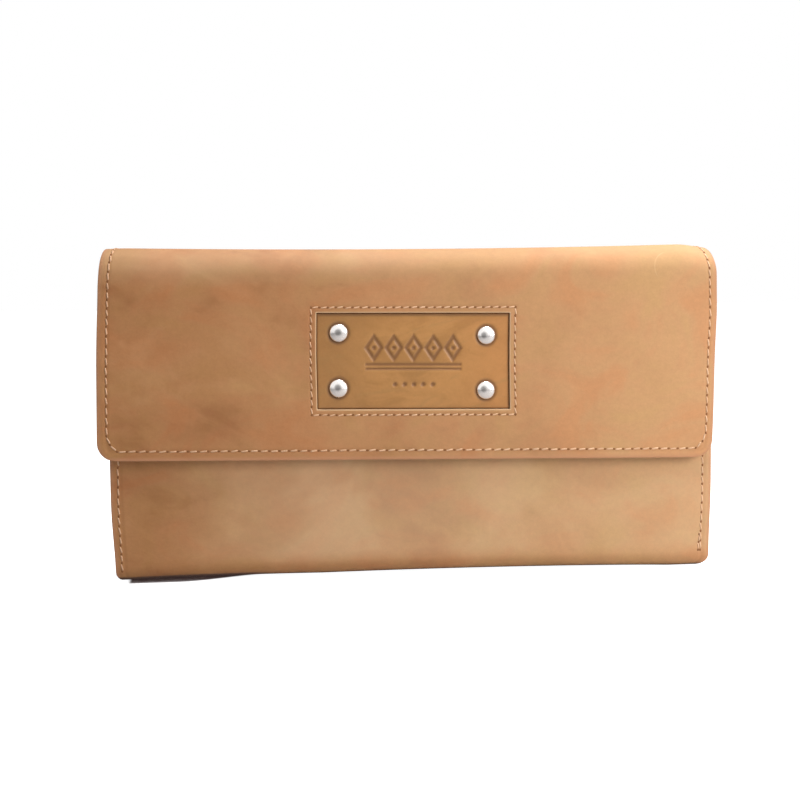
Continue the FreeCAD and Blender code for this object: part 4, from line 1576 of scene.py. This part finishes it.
# %% Waxed thread and its needle holes
def thread_material():
    material, tree = new_material("waxed thread")
    turn = plus(tree, times(tree, attribute(tree, "along"), 1.15), attribute(tree, "around"))
    lay = spread(tree, math_node(tree, "SINE", times(tree, turn, 4 * math.pi)), -1.0, 0.1)
    which = times(tree, attribute(tree, "which"), 7.31)
    tint = add(tree, "ShaderNodeTexWhiteNoise", noise_dimensions="1D", in_W=which).outputs[0]
    colour = blend_colour(tree, tint, (0.73, 0.46, 0.275, 1), (0.85, 0.57, 0.36, 1))
    # Painted shade: the thread is darker towards the left, away from the lamps.
    left = spread(tree, split(tree, own_place(tree))[0], 40 * MM, -90 * MM, 0, 0.5)
    colour = blend_colour(tree, left, colour, (0.56, 0.32, 0.185, 1))
    # Painted shade in the grooves where the two plies lie together.
    colour = paint(tree, colour, minus(tree, 1.0, lay), 0.3, (0.42, 0.22, 0.11, 1))
    return close_material(material, colour, 0.6, bumped(tree, lay, 0.5, 0.06 * MM), Specular_IOR_Level=0.35)


# The needle holes' dark colour is painted shade in the holes.
def hole_shade_material():
    material, tree = new_material("needle hole")
    speck = noise(tree, own_place(tree), 900, 2)
    colour = blend_colour(tree, speck, (0.19, 0.08, 0.034, 1), (0.32, 0.145, 0.065, 1))
    return close_material(material, colour, 0.9, None, Specular_IOR_Level=0.1)


nickel = metal_material("nickel", (0.84, 0.83, 0.82, 1), 0.20)
cap_nickel = metal_material("rivet cap nickel", (0.95, 0.92, 0.90, 1), 0.22, 0.08, 0.38)
brass = metal_material("zipper brass", (0.72, 0.53, 0.27, 1), 0.24)
thread_wax = thread_material()
needle_hole_shade = hole_shade_material()
print("materials:", ", ".join(material.name for material in bpy.data.materials))

# %% Every piece gets its material
def dress(material, slot, *pieces):
    for piece in pieces:
        piece.data.materials.clear()
        piece.data.materials.append(material)


threads = [thread for thread, needle in seams]
needles = [needle for thread, needle in seams]
for material, slot, pieces in (
        (outer_leather, "outer_leather", (hide_flap, hide_back, hide_front)),
        (label_leather, "label_leather", (label,)),
        (inner_leather, "inner_leather", (*cards, slip, *gussets, pouch, pouch_ends)),
        (lining_cloth, "lining", (lining_flap, lining_back, lining_front, pouch_cloth)),
        (tape_cloth, "zipper_tape", tapes),
        (brass, "zipper_metal", teeth),
        (cap_nickel, "nickel_hardware", (rivets,)),
        (thread_wax, "outer_leather", (*threads, thread_cards)),
        (needle_hole_shade, "outer_leather", needles)):
    dress(material, slot, *pieces)

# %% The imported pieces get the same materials; those that stay in view get broken edges
PACKED = {
    outer_leather: "flap_leather back_leather spine_leather front_leather",
    label_leather: "label_plaque",
    inner_leather: "card_slot_1 card_slot_2 card_slot_3 card_slot_4 front_slip_pocket "
                   "gusset_left gusset_right pouch_shell pouch_ends",
    lining_cloth: "flap_lining back_lining spine_lining front_lining pouch_lining",
    board: "flap_interlining back_interlining spine_interlining front_interlining",
    tape_cloth: "zipper_tape_front zipper_tape_back",
    brass: "zipper_teeth_front zipper_teeth_back zipper_top_stops zipper_bottom_stop "
           "zipper_slider zipper_pull",
    nickel: "label_rivet_caps label_rivet_backs snap_stud snap_stud_washer snap_socket snap_socket_washer"}
for material, names in PACKED.items():
    for name in names.split():
        node = frame["nodes"][name]
        dress(material, None, node)
        if not node.hide_render:
            edge_break = node.modifiers.new("broken edges", "BEVEL")
            edge_break.width, edge_break.segments, edge_break.limit_method = 0.12 * MM, 2, "ANGLE"
            edge_break.angle_limit = math.radians(40)
            edge_break.harden_normals = False
print("packed pieces dressed:", sum(len(names.split()) for names in PACKED.values()))

# %% [markdown]
# The wallet stands on a white sweep. The camera sees the floor as plain white paper that glows, except in a
# strip under the wallet: there the glow turns a faint dark brown, so the wallet's own shadow shows as a dark
# line, partly real shadow and partly painted. The light that the floor gives back to the leather stays the
# paper's own. Reflections see a white room with one grey patch straight ahead, which gives the nickel its
# shape.

# %% The white paper
WHITE = (1, 1, 1, 1)


def off_the_touch(tree, x, y):
    """How far a place on the floor is outside the strip under the wallet, where the white glow gives way to
    the shadow line.
    """
    beside = minus(tree, math_node(tree, "ABSOLUTE", x), panel_half - 5 * MM)
    before = minus(tree, spread(tree, x, -75 * MM, -45 * MM, front_y + 4 * MM, front_y + 13 * MM), y)
    behind = minus(tree, y, back_y - 4 * MM)
    return math_node(tree, "MAXIMUM", math_node(tree, "MAXIMUM", beside, before), behind)


def paper_material():
    material, tree = new_material("white paper")
    where = own_place(tree)
    x, y, _ = split(tree, where)
    path = add(tree, "ShaderNodeLightPath").outputs
    colour = grey(tree, spread(tree, noise(tree, where, 400, 3), 0.2, 0.8, 0.86, 0.9))
    colour = paint(tree, colour, minus(tree, 1.0, path["Is Camera Ray"]), 0.3, (0.22, 0.20, 0.19, 1))
    colour = blend_colour(tree, path["Is Glossy Ray"], colour, (0.46, 0.44, 0.43, 1))
    paper = add(tree, "ShaderNodeBsdfPrincipled", in_Base_Color=colour, in_Roughness=0.9).outputs[0]
    open_paper = spread(tree, off_the_touch(tree, x, y), 0.0, 1.5 * MM)
    # Outside the strip the paper glows white; inside it the glow is a faint dark brown, so the real shadow
    # shows with a painted brown tint.
    shadow_strip_glow = blend_colour(tree, open_paper, (0.035, 0.020, 0.018, 1), WHITE)
    glow = add(tree, "ShaderNodeEmission", in_Color=shadow_strip_glow, in_Strength=1.0).outputs[0]
    seen = add(tree, "ShaderNodeAddShader", in_0=paper, in_1=glow).outputs[0]
    mix = add(tree, "ShaderNodeMixShader", in_0=path["Is Camera Ray"], in_1=paper, in_2=seen).outputs[0]
    add(tree, "ShaderNodeOutputMaterial", in_Surface=mix)
    return material


floor.data.materials.append(paper_material())
print("floor:", floor.data.materials[0].name)

# %% The room's light, and what the metal reflects
PATCH_WAY = (0.17, -0.975, -0.14)


def light_room():
    scene.world = bpy.data.worlds.new("white room")
    scene.world.use_nodes = True
    tree = scene.world.node_tree
    tree.nodes.clear()
    path = add(tree, "ShaderNodeLightPath").outputs
    toward = split(tree, add(tree, "ShaderNodeTexCoord").outputs["Generated"])
    toward_patch = plus(tree, *(times(tree, toward[i], PATCH_WAY[i]) for i in range(3)))
    room = spread(tree, toward_patch, 0.78, 1.0, 1.0, 0.75)
    mirror = blend_colour(tree, room, (0.40, 0.35, 0.33, 1), (1.0, 0.99, 0.98, 1))
    seen = blend_colour(tree, path["Is Glossy Ray"], (0.11, 0.112, 0.118, 1), mirror)
    seen = blend_colour(tree, path["Is Camera Ray"], seen, WHITE)
    seen = blend_colour(tree, path["Is Transmission Ray"], seen, WHITE)
    light = add(tree, "ShaderNodeBackground", in_Color=seen, in_Strength=1.0).outputs[0]
    add(tree, "ShaderNodeOutputWorld", in_Surface=light)
    print("room: %d nodes" % len(tree.nodes))


light_room()

# %% The sizes, written out, and the close
made_low, made_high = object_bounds()
for title, low, high in (("packed", packed_low, packed_high), ("dressed", made_low, made_high)):
    print("%s box %s to %s mm" % (title, [round(c / MM, 1) for c in low], [round(c / MM, 1) for c in high]))
